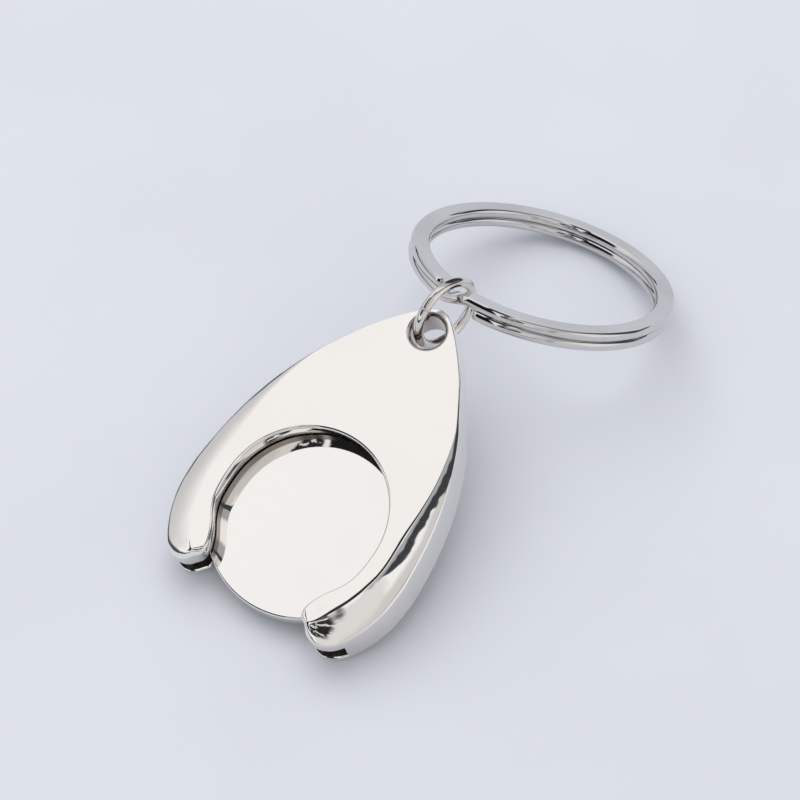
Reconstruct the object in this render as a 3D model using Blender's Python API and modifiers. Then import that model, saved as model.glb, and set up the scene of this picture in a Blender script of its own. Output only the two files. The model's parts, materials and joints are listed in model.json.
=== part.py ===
"""Keyring with a slotted coin holder, a loose trolley token, a jump ring and a flat split ring.

The holder is modelled in its own frame: +X across it, +Y towards its head, +Z out of its front face,
with the origin on the front face over the middle of the token. An empty then leans the whole keyring
until the two arm tips and the far rim of the split ring all touch the floor.
"""

import math

import bmesh
import bpy
from mathutils import Matrix, Vector

# Lengths are in metres.

# Token, and the room that it is given in the slot
TOKEN_DIAMETER = 0.02325
TOKEN_THICKNESS = 0.0017
TOKEN_EDGE = 0.00022
CLEARANCE = 0.0003

# Casting
FRONT_PLATE = 0.0028
BACK_PLATE = 0.0009
SIDE_WALL = 0.00205
WALL_FLARE = 0.0004
FLARE_START = 0.016
FLARE_LENGTH = 0.018
LEDGE = 0.001675
CUTOUT_LOWERING = 0.0005
RIM_ROUND = 0.0008
BACK_ROUND = 0.00045
HEAD_THICKNESS = 0.0044
NECK = 0.011825
HEAD_REACH = 0.00295
TIP_OVERHANG = 0.00015
ARM_DROP = 0.0014
RAMP_START = 0.0019
RAMP_LENGTH = 0.0068

# Hole for the jump ring
HOLE_DIAMETER = 0.0039
HOLE_ROUND = 0.0004

# Magnet in the blind end of the slot
MAGNET_DIAMETER = 0.003
MAGNET_THICKNESS = 0.0015
MAGNET_EDGE = 0.00015

# Jump ring
JUMP_WIRE = 0.00115
JUMP_INNER_DIAMETER = 0.0068
JUMP_SPLIT = 0.00035
JUMP_SIDE = -0.00018
JUMP_REACH = 0.00315
JUMP_DEPTH = 0.0016
JUMP_YAW = math.radians(-8.7)
JUMP_PITCH = math.radians(7.5)
JUMP_SPLIT_ANGLE = math.radians(205.0)

# Split ring
RING_OUTER_DIAMETER = 0.0304
STRIP_WIDTH = 0.0022
STRIP_THICKNESS = 0.00091
STRIP_ROUND = 0.00022
COIL_GAP = 0.00043
JOG_ANGLE = math.radians(15.6)
END_GAP_ANGLE = math.radians(0.4)
JUMP_TO_JOG_ANGLE = math.radians(11.8)
RING_FALL = math.radians(46.3)
RING_ROLL = math.radians(-2.4)
RING_SWING = math.radians(13.5)
RING_SEAT = 0.002
RING_SEAT_ANGLE = math.radians(28.7)

# Sizes that follow from the ones above
TOKEN_RADIUS = TOKEN_DIAMETER / 2
SLOT_HEIGHT = TOKEN_THICKNESS + 2 * CLEARANCE
SLOT_RADIUS = TOKEN_RADIUS + CLEARANCE
HOLDER_THICKNESS = FRONT_PLATE + SLOT_HEIGHT + BACK_PLATE
HALF_WIDTH = SLOT_RADIUS + SIDE_WALL
CUTOUT_RADIUS = TOKEN_RADIUS - LEDGE
HOLE_CENTRE = TOKEN_RADIUS + NECK
NOSE_REACH = HOLE_CENTRE + HEAD_REACH
TIP_REACH = TOKEN_RADIUS + TIP_OVERHANG
TOKEN_MID_DEPTH = FRONT_PLATE + SLOT_HEIGHT / 2
MAGNET_CENTRE = SLOT_RADIUS + MAGNET_DIAMETER / 2
JUMP_RADIUS = (JUMP_INNER_DIAMETER + JUMP_WIRE) / 2
RING_MEAN_RADIUS = (RING_OUTER_DIAMETER - STRIP_WIDTH) / 2
COIL_STEP = STRIP_THICKNESS + COIL_GAP
OVERRUN = HOLDER_THICKNESS
MERGE_DISTANCE = CLEARANCE / 3000

# Right half of the holder's outline, from the nose round the arm tip to the lobe's inner corner.
# Each row holds: across (share of the half width), along (share of the nose reach, or of the tip
# reach where it is negative), the same two for the crease above it, and the drop (share of ARM_DROP).
OUTER_SHARES = (
    (0.000, 1.000, 0.000, 0.993, 0.20),
    (0.093, 0.983, 0.086, 0.977, 0.20),
    (0.161, 0.956, 0.150, 0.951, 0.20),
    (0.276, 0.896, 0.263, 0.892, 0.20),
    (0.433, 0.798, 0.419, 0.795, 0.20),
    (0.578, 0.682, 0.563, 0.679, 0.20),
    (0.701, 0.568, 0.680, 0.566, 0.25),
    (0.794, 0.455, 0.744, 0.450, 0.36),
    (0.873, 0.341, 0.782, 0.336, 0.50),
    (0.930, 0.227, 0.793, 0.223, 0.63),
    (0.969, 0.114, 0.792, 0.114, 0.73),
    (0.992, 0.000, 0.805, 0.000, 0.80),
    (1.000, -0.170, 0.799, -0.178, 0.86),
    (0.984, -0.416, 0.757, -0.386, 0.91),
    (0.937, -0.620, 0.706, -0.545, 0.95),
    (0.869, -0.790, 0.662, -0.652, 0.98),
    (0.801, -0.905, 0.632, -0.735, 1.00),
    (0.737, -0.964, 0.609, -0.790, 1.00),
    (0.658, -0.994, 0.588, -0.828, 0.96),
    (0.587, -0.968, 0.574, -0.854, 0.84),
    (0.537, -0.909, 0.564, -0.868, 0.68),
)
# Inner side of the lobe, from that corner up to where it runs into the round cut-out.
LOBE_SHARES = (
    (0.505, -0.858),
    (0.504, -0.790),
    (0.519, -0.713),
    (0.565, -0.599),
    (0.637, -0.471),
    (0.688, -0.335),
    (0.708, -0.180),
)

OUTLINE_STEPS = 3
CUTOUT_STEPS = 22
EDGE_LEVELS = 4
RAMP_STATIONS = 6
ROUND_STEPS = 4
TOKEN_SEGMENTS = 96
HOLE_SEGMENTS = 40
MAGNET_SEGMENTS = 32
JUMP_POINTS = 56
STRIP_POINTS_PER_TURN = 72
JOG_POINTS = 10
END_POINTS = 4
CREASE_SLOPE_SHARE = 0.5
LEAN_TRIES = 60
# The crown fades over the outline's last four rows, and the land's tip is drawn out over two
CROWN_FADE_STEPS = 4 * OUTLINE_STEPS
LAND_TIP_STEPS = 2 * OUTLINE_STEPS

# Edges that turn by more than this are shaded crisp
HOLDER_CRISP_ANGLE = math.radians(24)
WIRE_CRISP_ANGLE = math.radians(50)
STRIP_CRISP_ANGLE = math.radians(35)

FINISHES = {
    "plated_casting": ((0.80, 0.79, 0.78, 1.0), 0.06, 1.0),
    "polished_token": ((0.82, 0.81, 0.80, 1.0), 0.04, 1.0),
    "plated_wire": ((0.76, 0.75, 0.74, 1.0), 0.10, 1.0),
    "plated_strip": ((0.70, 0.70, 0.71, 1.0), 0.12, 1.0),
    "dull_magnet": ((0.45, 0.45, 0.46, 1.0), 0.35, 1.0),
}


def clear_scene():
    """Remove every object, so that the script can be run again in an open file."""
    for thing in list(bpy.data.objects):
        bpy.data.objects.remove(thing, do_unlink=True)


def new_collection(name):
    """Make a collection under the scene's own, or reuse the one of that name."""
    group = bpy.data.collections.get(name) or bpy.data.collections.new(name)
    if group.name not in bpy.context.scene.collection.children:
        bpy.context.scene.collection.children.link(group)
    return group


def finish(name):
    """Return the Principled material of that name."""
    colour, roughness, metallic = FINISHES[name]
    material = bpy.data.materials.get(name) or bpy.data.materials.new(name)
    material.use_nodes = True
    shader = material.node_tree.nodes["Principled BSDF"]
    shader.inputs["Base Color"].default_value = colour
    shader.inputs["Roughness"].default_value = roughness
    shader.inputs["Metallic"].default_value = metallic
    material.diffuse_color = colour
    return material


def add_object(name, data, group, parent=None):
    """Link a new object with this mesh or curve under its parent."""
    thing = bpy.data.objects.new(name, data)
    group.objects.link(thing)
    thing.parent = parent
    return thing


def mesh_from(bm, name):
    """Turn a bmesh into a mesh with its faces pointing out."""
    bmesh.ops.recalc_face_normals(bm, faces=bm.faces)
    mesh = bpy.data.meshes.new(name)
    bm.to_mesh(mesh)
    bm.free()
    return mesh


def shade(thing, angle):
    """Shade an object's mesh smooth, with sharp edges past the angle."""
    thing.data.shade_smooth()
    thing.data.set_sharp_from_angle(angle=angle)


def catmull_rom(points, steps, before_first=None):
    """Points on a smooth curve through all the given vectors, ends included.

    The curve starts straight, or as if it came from the point before the first.
    """
    if before_first is None:
        before_first = 2 * points[0] - points[1]
    padded = [before_first, *points, 2 * points[-1] - points[-2]]
    curve = []
    for before, start, end, after in zip(padded, padded[1:], padded[2:], padded[3:]):
        for step in range(steps):
            t = step / steps
            curve.append(
                0.5 * (2 * start + (end - before) * t
                       + (2 * before - 5 * start + 4 * end - after) * t ** 2
                       + (3 * start - before - 3 * end + after) * t ** 3)
            )
    curve.append(points[-1])
    return curve


def from_shares(across, along):
    """A point of the outline from its shares of the holder's width and reaches."""
    reach = NOSE_REACH if along >= 0 else TIP_REACH
    return across * HALF_WIDTH, along * reach


def smooth_step(t):
    """Ease from 0 to 1 with level ends."""
    t = min(max(t, 0.0), 1.0)
    return t * t * (3 - 2 * t)


def half_outline():
    """Rows of wall point, edge point and drop down the holder's right half.

    The wall point is where the outline stands, the edge point is where the flat front face begins
    over it, and the drop is how far below that face the wall's crisp top line lies. The last item
    is 1 on the crowned outer side and 0 on the rounded inner side.
    """
    controls = []
    for across, along, edge_across, edge_along, drop in OUTER_SHARES:
        wall = from_shares(across, along)
        edge = from_shares(edge_across, edge_along)
        controls.append(Vector((*wall, *edge)))
    drops = [Vector((row[4] * ARM_DROP, 0.0)) for row in OUTER_SHARES]
    mirrored = controls[1] * Vector((-1, 1, -1, 1))
    outer = catmull_rom(controls, OUTLINE_STEPS, mirrored)
    depths = [value.x for value in catmull_rom(drops, OUTLINE_STEPS)]
    rows = []
    blend_start = len(outer) - CROWN_FADE_STEPS
    for index, (point, depth) in enumerate(zip(outer, depths)):
        crown = 1 - smooth_step((index - blend_start) / (len(outer) + OUTLINE_STEPS - blend_start))
        rows.append((Vector((point[0], point[1])), Vector((point[2], point[3])), depth, crown))

    centre = Vector((0, -CUTOUT_LOWERING))
    round_part = []
    for step in range(CUTOUT_STEPS + 1):
        angle = math.pi / 2 * step / CUTOUT_STEPS
        round_part.append(centre + CUTOUT_RADIUS * Vector((math.cos(angle), math.sin(angle))))
    lobe = [rows[-1 - OUTLINE_STEPS][0], rows[-1][0]]
    lobe += [Vector(from_shares(*shares)) for shares in LOBE_SHARES] + round_part[:2]
    inner = catmull_rom(lobe, OUTLINE_STEPS)[OUTLINE_STEPS + 1:-OUTLINE_STEPS - 1] + round_part
    _, last_edge, last_drop, last_crown = rows[-1]
    edges = []
    for index, point in enumerate(inner):
        ahead = inner[min(index + 1, len(inner) - 1)]
        behind = inner[index - 1] if index else rows[-1][0]
        along = (ahead - behind).normalized()
        if index == len(inner) - 1:
            along = Vector((-1.0, 0.0))
        edges.append(point + Vector((along.y, -along.x)) * RIM_ROUND)
    for index, (point, edge) in enumerate(zip(inner, edges)):
        if index < LAND_TIP_STEPS:
            edge = last_edge.lerp(edges[LAND_TIP_STEPS], (index + 1) / (LAND_TIP_STEPS + 1))
        ease = smooth_step((index + 1) / LAND_TIP_STEPS)
        depth = last_drop + (RIM_ROUND - last_drop) * ease
        rows.append((point, edge, depth, last_crown * (1 - ease)))
    return rows


def full_outline():
    """The half outline with its mirror image, as one closed loop that starts at the nose."""
    right = half_outline()
    flip = Matrix.Scale(-1, 2, Vector((1, 0)))
    left = [(flip @ wall, flip @ edge, drop, crown) for wall, edge, drop, crown in right[1:-1]]
    return right + left[::-1]


def edge_point(row, level):
    """Point between the wall's top line (level 0) and the flat face (level 1)."""
    wall, edge, drop, crown = row
    turn = level * math.pi / 2
    left = 1 - level
    run = crown * level + (1 - crown) * (1 - math.cos(turn))
    fall_on_crown = CREASE_SLOPE_SHARE * left + (1 - CREASE_SLOPE_SHARE) * left ** 2
    fall = crown * fall_on_crown + (1 - crown) * (1 - math.sin(turn))
    flat = wall.lerp(edge, run)
    return Vector((flat.x, flat.y, -drop * fall))


def back_point(rows, index, turn):
    """Point on the rounded edge of the back face, from the wall (turn 0) to the face (pi / 2)."""
    before = rows[index - 1][0]
    after = rows[(index + 1) % len(rows)][0]
    along = (after - before).normalized()
    into_metal = Vector((along.y, -along.x))
    place, _, _, crown = rows[index]
    flare = WALL_FLARE * crown * smooth_step((FLARE_START - place.y) / FLARE_LENGTH)
    place = place + into_metal * (BACK_ROUND * (1 - math.cos(turn)) - flare)
    return Vector((place.x, place.y, -HOLDER_THICKNESS + BACK_ROUND * (1 - math.sin(turn))))


def loft(bm, rings):
    """Skin closed rings of equal count with quads and cap the first and last."""
    loops = [[bm.verts.new(point) for point in ring] for ring in rings]
    for lower, upper in zip(loops, loops[1:]):
        for index in range(len(lower)):
            after = (index + 1) % len(lower)
            bm.faces.new((lower[index], lower[after], upper[after], upper[index]))
    bm.faces.new(loops[0][::-1])
    bm.faces.new(loops[-1])


def thin_the_head(bm):
    """Ramp the back face up from the full thickness to the thinner head."""
    start = SLOT_RADIUS + RAMP_START
    stations = [start + RAMP_LENGTH * step / RAMP_STATIONS for step in range(RAMP_STATIONS + 1)]
    for along in stations:
        everything = bm.verts[:] + bm.edges[:] + bm.faces[:]
        bmesh.ops.bisect_plane(
            bm, geom=everything, plane_co=(0, along, 0), plane_no=(0, 1, 0), dist=MERGE_DISTANCE
        )
    lift = HOLDER_THICKNESS - HEAD_THICKNESS
    for vert in bm.verts:
        if vert.co.z > -HOLDER_THICKNESS + BACK_ROUND + MERGE_DISTANCE:
            continue
        place = (vert.co.y - start) / RAMP_LENGTH * RAMP_STATIONS
        whole = math.floor(place)
        low = smooth_step(whole / RAMP_STATIONS)
        high = smooth_step((whole + 1) / RAMP_STATIONS)
        vert.co.z += lift * (low + (high - low) * (place - whole))


def hide_cutter(cutter):
    """Mark an object as a cutter."""
    cutter.hide_render = True
    cutter.display_type = "WIRE"


def cut(target, cutter):
    """Subtract the cutter from the target with a Boolean modifier."""
    hide_cutter(cutter)
    boolean = target.modifiers.new("cut_" + cutter.name, "BOOLEAN")
    boolean.operation = "DIFFERENCE"
    boolean.solver = "EXACT"
    boolean.object = cutter


def turned(name, profile, segments, group, parent):
    """A solid turned round Z from (radius, height) pairs that run down its outer side."""
    mesh = bpy.data.meshes.new(name)
    points = [(radius, 0.0, height) for radius, height in profile]
    mesh.from_pydata(points, [(i, i + 1) for i in range(len(points) - 1)], [])
    thing = add_object(name, mesh, group, parent)
    screw = thing.modifiers.new("turn", "SCREW")
    screw.steps = segments
    screw.render_steps = segments
    screw.use_merge_vertices = True
    screw.merge_threshold = MERGE_DISTANCE
    screw.use_smooth_shade = True
    return thing


def flat_plate(name, loops, bottom, top, group, parent):
    """A plate between two heights from one closed outline, as an extruded 2D curve."""
    curve = bpy.data.curves.new(name, "CURVE")
    curve.dimensions = "2D"
    curve.fill_mode = "BOTH"
    curve.extrude = (top - bottom) / 2
    for points in loops:
        spline = curve.splines.new("POLY")
        spline.points.add(len(points) - 1)
        for target, (x, y) in zip(spline.points, points):
            target.co = (x, y, 0.0, 1.0)
        spline.use_cyclic_u = True
    shape = add_object(name + "_outline", curve, group, parent)
    shape.location = (0, 0, (top + bottom) / 2)
    return solid_from_curve(shape, name, group, parent)


def solid_from_curve(shape, name, group, parent):
    """Turn a curve object into a closed mesh object in the same place."""
    bpy.context.view_layer.update()
    evaluated = shape.evaluated_get(bpy.context.evaluated_depsgraph_get())
    mesh = bpy.data.meshes.new_from_object(evaluated)
    mesh.name = name
    bm = bmesh.new()
    bm.from_mesh(mesh)
    bmesh.ops.remove_doubles(bm, verts=bm.verts, dist=MERGE_DISTANCE)
    bm.to_mesh(mesh)
    bm.free()
    solid = add_object(name, mesh, group, parent)
    solid.matrix_local = shape.matrix_local.copy()
    bpy.data.objects.remove(shape, do_unlink=True)
    return solid


def build_holder(group, cutters, frame):
    """The one-piece casting: two wishbone plates joined at the head and along the outer wall."""
    rows = full_outline()
    rings = []
    for step in range(ROUND_STEPS, -1, -1):
        turn = math.pi / 2 * step / ROUND_STEPS
        rings.append([back_point(rows, index, turn) for index in range(len(rows))])
    for step in range(EDGE_LEVELS + 1):
        rings.append([edge_point(row, step / EDGE_LEVELS) for row in rows])
    bm = bmesh.new()
    loft(bm, rings)
    thin_the_head(bm)
    holder = add_object("coin_holder", mesh_from(bm, "coin_holder"), group, frame)
    holder.data.materials.append(finish("plated_casting"))

    cut(holder, slot_cutter(cutters, frame))
    cut(holder, magnet_pocket_cutter(cutters, frame))
    cut(holder, hole_cutter(cutters, frame))
    shade(holder, HOLDER_CRISP_ANGLE)
    return holder


def slot_cutter(group, frame):
    """Straight-sided slot with a round blind end, open at the mouth and out of both arm tips."""
    arc = []
    for step in range(TOKEN_SEGMENTS // 2 + 1):
        angle = math.pi * step / (TOKEN_SEGMENTS // 2)
        arc.append((SLOT_RADIUS * math.cos(angle), SLOT_RADIUS * math.sin(angle)))
    mouth = -TIP_REACH - OVERRUN
    outline = arc + [(-SLOT_RADIUS, mouth), (SLOT_RADIUS, mouth)]
    bottom = -FRONT_PLATE - SLOT_HEIGHT
    return flat_plate("slot_cutter", [outline], bottom, -FRONT_PLATE, group, frame)


def magnet_pocket_cutter(group, frame):
    """Pocket behind the slot's blind end, as deep as the magnet with its clearance."""
    radius = MAGNET_DIAMETER / 2 + CLEARANCE
    start = SLOT_RADIUS - MAGNET_DIAMETER
    arc = [(radius, start)]
    for step in range(MAGNET_SEGMENTS // 2 + 1):
        angle = math.pi * step / (MAGNET_SEGMENTS // 2)
        arc.append((radius * math.cos(angle), MAGNET_CENTRE + radius * math.sin(angle)))
    arc.append((-radius, start))
    top = -TOKEN_MID_DEPTH + MAGNET_THICKNESS / 2 + CLEARANCE
    bottom = -TOKEN_MID_DEPTH - MAGNET_THICKNESS / 2 - CLEARANCE
    return flat_plate("magnet_pocket_cutter", [arc], bottom, top, group, frame)


def hole_cutter(group, frame):
    """Round hole through the head, with both of its edges rounded."""
    radius = HOLE_DIAMETER / 2
    profile = [(0.0, OVERRUN), (radius + HOLE_ROUND, OVERRUN), (radius + HOLE_ROUND, 0.0)]
    for step in range(1, ROUND_STEPS + 1):
        turn = math.pi / 2 * step / ROUND_STEPS
        profile.append((radius + HOLE_ROUND * (1 - math.sin(turn)), -HOLE_ROUND * (1 - math.cos(turn))))
    lower = [(across, -HEAD_THICKNESS - height) for across, height in reversed(profile)]
    cutter = turned("hole_cutter", profile + lower, HOLE_SEGMENTS, group, frame)
    cutter.location = (0, HOLE_CENTRE, 0)
    return cutter


def build_magnet(group, frame):
    """Small disc magnet, glued in its pocket, that the steel token clings to."""
    bm = bmesh.new()
    bmesh.ops.create_cone(
        bm, cap_ends=True, segments=MAGNET_SEGMENTS, radius1=MAGNET_DIAMETER / 2,
        radius2=MAGNET_DIAMETER / 2, depth=MAGNET_THICKNESS,
    )
    magnet = add_object("holder_magnet", mesh_from(bm, "holder_magnet"), group, frame)
    magnet.location = (0, MAGNET_CENTRE, -TOKEN_MID_DEPTH)
    magnet.data.materials.append(finish("dull_magnet"))
    bevel = magnet.modifiers.new("edge", "BEVEL")
    bevel.width = MAGNET_EDGE
    bevel.segments = 1
    bevel.limit_method = "ANGLE"
    return magnet


def build_token(group, frame):
    """Plain round steel token with broken edges, lying in the slot."""
    half = TOKEN_THICKNESS / 2
    edge = TOKEN_EDGE
    profile = [
        (0.0, half), (TOKEN_RADIUS - edge, half), (TOKEN_RADIUS, half - edge),
        (TOKEN_RADIUS, -half + edge), (TOKEN_RADIUS - edge, -half), (0.0, -half),
    ]
    token = turned("trolley_token", profile, TOKEN_SEGMENTS, group, frame)
    token.location = (0, 0, -TOKEN_MID_DEPTH)
    token.data.materials.append(finish("polished_token"))
    return token


def jump_ring_place():
    """Place of the jump ring's middle in the holder's frame, local Z being the ring's axis."""
    middle = Vector((JUMP_SIDE, HOLE_CENTRE + JUMP_REACH, -JUMP_DEPTH))
    turn = Matrix.Rotation(JUMP_YAW, 4, "Z") @ Matrix.Rotation(math.pi / 2 - JUMP_PITCH, 4, "Y")
    return Matrix.Translation(middle) @ turn


def build_jump_ring(group, frame):
    """Round wire bent into a ring, its two butted ends a hair apart."""
    curve = bpy.data.curves.new("jump_ring_wire", "CURVE")
    curve.dimensions = "3D"
    curve.bevel_depth = JUMP_WIRE / 2
    curve.bevel_resolution = 3
    curve.use_fill_caps = True
    spline = curve.splines.new("POLY")
    spline.points.add(JUMP_POINTS - 1)
    opening = JUMP_SPLIT / JUMP_RADIUS
    for index, target in enumerate(spline.points):
        angle = JUMP_SPLIT_ANGLE + opening / 2 + (2 * math.pi - opening) * index / (JUMP_POINTS - 1)
        target.co = (JUMP_RADIUS * math.cos(angle), JUMP_RADIUS * math.sin(angle), 0.0, 1.0)
    shape = add_object("jump_ring_wire", curve, group, frame)
    shape.matrix_local = jump_ring_place()
    ring = solid_from_curve(shape, "jump_ring", group, frame)
    ring.data.materials.append(finish("plated_wire"))
    shade(ring, WIRE_CRISP_ANGLE)
    return ring


def split_ring_place():
    """Place of the split ring where its strip passes through the jump ring.

    The origin is the middle of the strip there, local +X points to the middle of the ring, and
    local +Y runs along the strip, which is the axis that the ring folds about.
    """
    jump = jump_ring_place()
    out = Vector((0, math.cos(RING_SEAT_ANGLE), math.sin(RING_SEAT_ANGLE)))
    seat = jump.translation + RING_SEAT * out
    turn = Matrix.Rotation(-RING_FALL, 4, "X") @ Matrix.Rotation(RING_ROLL, 4, "Y")
    turn = turn @ Matrix.Rotation(math.pi / 2 - RING_SWING, 4, "Z")
    return Matrix.Translation(seat) @ turn


def strip_angles():
    """Angles along the strip's middle line, and how far in each end each point lies.

    The lower coil starts just past the jog, the strip runs once round to it, climbs to the upper
    coil and runs round again to the near side of the jog.
    """
    jog_end = JUMP_TO_JOG_ANGLE
    jog_start = jog_end - JOG_ANGLE
    start = jog_end + END_GAP_ANGLE
    end = 4 * math.pi + jog_start - END_GAP_ANGLE
    climb = (2 * math.pi + jog_start, 2 * math.pi + jog_end)
    level_at_jump = smooth_step(-jog_start / JOG_ANGLE)
    turn = 2 * math.pi / STRIP_POINTS_PER_TURN
    nose = STRIP_WIDTH / 2 / RING_MEAN_RADIUS
    stations = [start + nose * (1 - math.cos(math.pi / 2 * i / END_POINTS)) for i in range(END_POINTS)]
    for low, high, step in ((start + nose, climb[0], turn), (*climb, JOG_ANGLE / JOG_POINTS),
                            (climb[1], end - nose, turn)):
        count = max(1, round((high - low) / step))
        stations += [low + (high - low) * i / count for i in range(count)]
    stations += [end - nose * (1 - math.cos(math.pi / 2 * i / END_POINTS)) for i in range(END_POINTS, -1, -1)]
    rows = []
    for angle in stations:
        inside = min(angle - start, end - angle) / nose
        width = math.sqrt(max(0.0, 1 - (1 - min(inside, 1.0)) ** 2))
        level = COIL_STEP * (smooth_step((angle - climb[0]) / JOG_ANGLE) - level_at_jump)
        rows.append((angle, level, width))
    return rows


def strip_section(angle, level, width):
    """Rounded rectangle across the strip, drawn in towards the middle line at a blunt end."""
    half_width = STRIP_WIDTH / 2 * max(width, 2 * STRIP_ROUND / STRIP_WIDTH)
    half_thick = STRIP_THICKNESS / 2
    corner = min(STRIP_ROUND, half_width, half_thick)
    cut_in = corner * (1 - math.sqrt(0.5))
    outline = (
        (half_width, -half_thick + corner), (half_width, half_thick - corner),
        (half_width - cut_in, half_thick - cut_in), (half_width - corner, half_thick),
        (corner - half_width, half_thick), (cut_in - half_width, half_thick - cut_in),
        (-half_width, half_thick - corner), (-half_width, corner - half_thick),
        (cut_in - half_width, cut_in - half_thick), (corner - half_width, -half_thick),
        (half_width - corner, -half_thick), (half_width - cut_in, cut_in - half_thick),
    )
    points = []
    for across, up in outline:
        radius = RING_MEAN_RADIUS + across
        points.append(Vector((
            RING_MEAN_RADIUS - radius * math.cos(angle), -radius * math.sin(angle), level + up,
        )))
    return points


def least_coil_gap(rows):
    """Smallest gap between the two coils, measured between points of the strip's middle line."""
    middle = []
    for angle, level, _ in rows:
        middle.append((angle, Vector((math.cos(angle), math.sin(angle), 0)) * RING_MEAN_RADIUS, level))
    least = math.inf
    for angle, place, level in middle:
        for other_angle, other_place, other_level in middle:
            if other_angle - angle < math.pi:
                continue
            apart = (other_place - place).length
            if apart < STRIP_WIDTH:
                least = min(least, math.hypot(apart, other_level - level) - STRIP_THICKNESS)
    return least


def build_split_ring(group, frame):
    """Flat strip wound twice round, with a jog where it steps from the lower to the upper coil."""
    rows = strip_angles()
    bm = bmesh.new()
    loft(bm, [strip_section(*row) for row in rows])
    ring = add_object("split_ring", mesh_from(bm, "split_ring"), group, frame)
    ring.matrix_local = split_ring_place()
    ring.data.materials.append(finish("plated_strip"))
    shade(ring, STRIP_CRISP_ANGLE)
    print(f"least gap between the split ring's coils: {least_coil_gap(rows) * 1000:.3f} mm")
    return ring


def world_points(thing):
    """World positions of an object's evaluated vertices."""
    evaluated = thing.evaluated_get(bpy.context.evaluated_depsgraph_get())
    mesh = evaluated.to_mesh()
    points = [evaluated.matrix_world @ vert.co for vert in mesh.vertices]
    evaluated.to_mesh_clear()
    return points


def lean_on_floor(holder_points, ring_points):
    """Angle about X at which the holder's lowest point and the ring's are level."""
    low, high = -math.pi / 4, math.pi / 2
    for _ in range(LEAN_TRIES):
        lean = (low + high) / 2
        up = Vector((0, math.sin(lean), math.cos(lean)))
        holder_low = min(point @ up for point in holder_points)
        ring_low = min(point @ up for point in ring_points)
        if ring_low < holder_low:
            low = lean
        else:
            high = lean
    return lean


def stand_on_floor(frame, things, holder, ring):
    """Lean the keyring on its three feet, with the middle of its footprint at the origin."""
    bpy.context.view_layer.update()
    lean = lean_on_floor(world_points(holder), world_points(ring))
    frame.rotation_euler = (lean, 0, 0)
    bpy.context.view_layer.update()
    points = [point for thing in things for point in world_points(thing)]
    low = [min(point[axis] for point in points) for axis in range(3)]
    high = [max(point[axis] for point in points) for axis in range(3)]
    frame.location = (-(low[0] + high[0]) / 2, -(low[1] + high[1]) / 2, -low[2])
    bpy.context.view_layer.update()


def main():
    """Build the keyring."""
    clear_scene()
    group = new_collection("trolley_token_keyring")
    cutters = new_collection("keyring_cutters")
    frame = add_object("keyring_frame", None, group)
    holder = build_holder(group, cutters, frame)
    magnet = build_magnet(group, frame)
    token = build_token(group, frame)
    jump_ring = build_jump_ring(group, frame)
    split_ring = build_split_ring(group, frame)
    stand_on_floor(frame, (holder, magnet, token, jump_ring, split_ring), holder, split_ring)


main()
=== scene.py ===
"""Trolley token keyring: a plated wishbone holder with its token, a jump ring and a split ring.

The holder, its token and the jump ring are modelled in the holder's own frame: +X across it, +Y
towards its head, +Z out of its front face, with the origin on the front face over the middle of the
token. The frame's joints say where that frame lies. Lengths are in metres.
"""

import json
import logging
import math
from dataclasses import dataclass, field, replace
from enum import Enum
from typing import ClassVar, Sequence

import bmesh
import bpy
from mathutils import Matrix, Vector


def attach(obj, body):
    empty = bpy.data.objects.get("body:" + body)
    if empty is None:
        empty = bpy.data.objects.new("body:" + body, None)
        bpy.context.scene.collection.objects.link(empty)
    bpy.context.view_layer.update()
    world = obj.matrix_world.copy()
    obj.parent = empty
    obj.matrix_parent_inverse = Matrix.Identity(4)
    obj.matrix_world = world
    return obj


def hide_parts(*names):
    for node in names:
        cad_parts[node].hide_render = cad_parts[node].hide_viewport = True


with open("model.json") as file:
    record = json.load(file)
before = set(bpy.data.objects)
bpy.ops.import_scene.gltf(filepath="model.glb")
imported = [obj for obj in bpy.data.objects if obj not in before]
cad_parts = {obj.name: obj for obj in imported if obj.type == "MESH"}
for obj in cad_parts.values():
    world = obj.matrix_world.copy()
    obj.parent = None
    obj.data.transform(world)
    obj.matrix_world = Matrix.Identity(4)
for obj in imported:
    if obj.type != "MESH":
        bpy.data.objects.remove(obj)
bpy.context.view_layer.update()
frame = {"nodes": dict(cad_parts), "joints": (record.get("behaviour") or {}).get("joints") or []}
LOG = logging.getLogger("keyring")

Colour = tuple[float, float, float]
Direction = tuple[float, float, float]
Profile = list[tuple[float, float]]
Value = float | bpy.types.NodeSocket
Tone = Colour | bpy.types.NodeSocket

# Points closer than the first are one point, and heights closer than the second are level
MERGE_DISTANCE = 1e-7
LEVEL_TOLERANCE = 1e-6

# How strongly large faces set the normals along their borders, where 50 is plain averaging by area
FLATNESS_WEIGHT = 80

# Noise wavers about this value
NOISE_MIDDLE = 0.5

# Directions round the object that the studio's cards are cut along
LEFT: Direction = (-1.0, 0.0, 0.0)
RIGHT: Direction = (1.0, 0.0, 0.0)
NEAR: Direction = (0.0, -1.0, 0.0)
FAR: Direction = (0.0, 1.0, 0.0)
UP: Direction = (0.0, 0.0, 1.0)
DOWN: Direction = (0.0, 0.0, -1.0)
OFF_CURTAIN: Direction = (-0.590, 0.761, 0.271)


class Body(Enum):
    """The bodies that the pieces ride on."""

    HOLDER = "holder"
    TOKEN = "token"
    LINK = "link"
    KEY_RING = "key_ring"


class Slot(Enum):
    """The record's material slots."""

    CASTING = "plated_casting"
    TOKEN = "polished_token"
    WIRE = "plated_wire"
    STRIP = "plated_strip"
    MAGNET = "dull_magnet"


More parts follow.
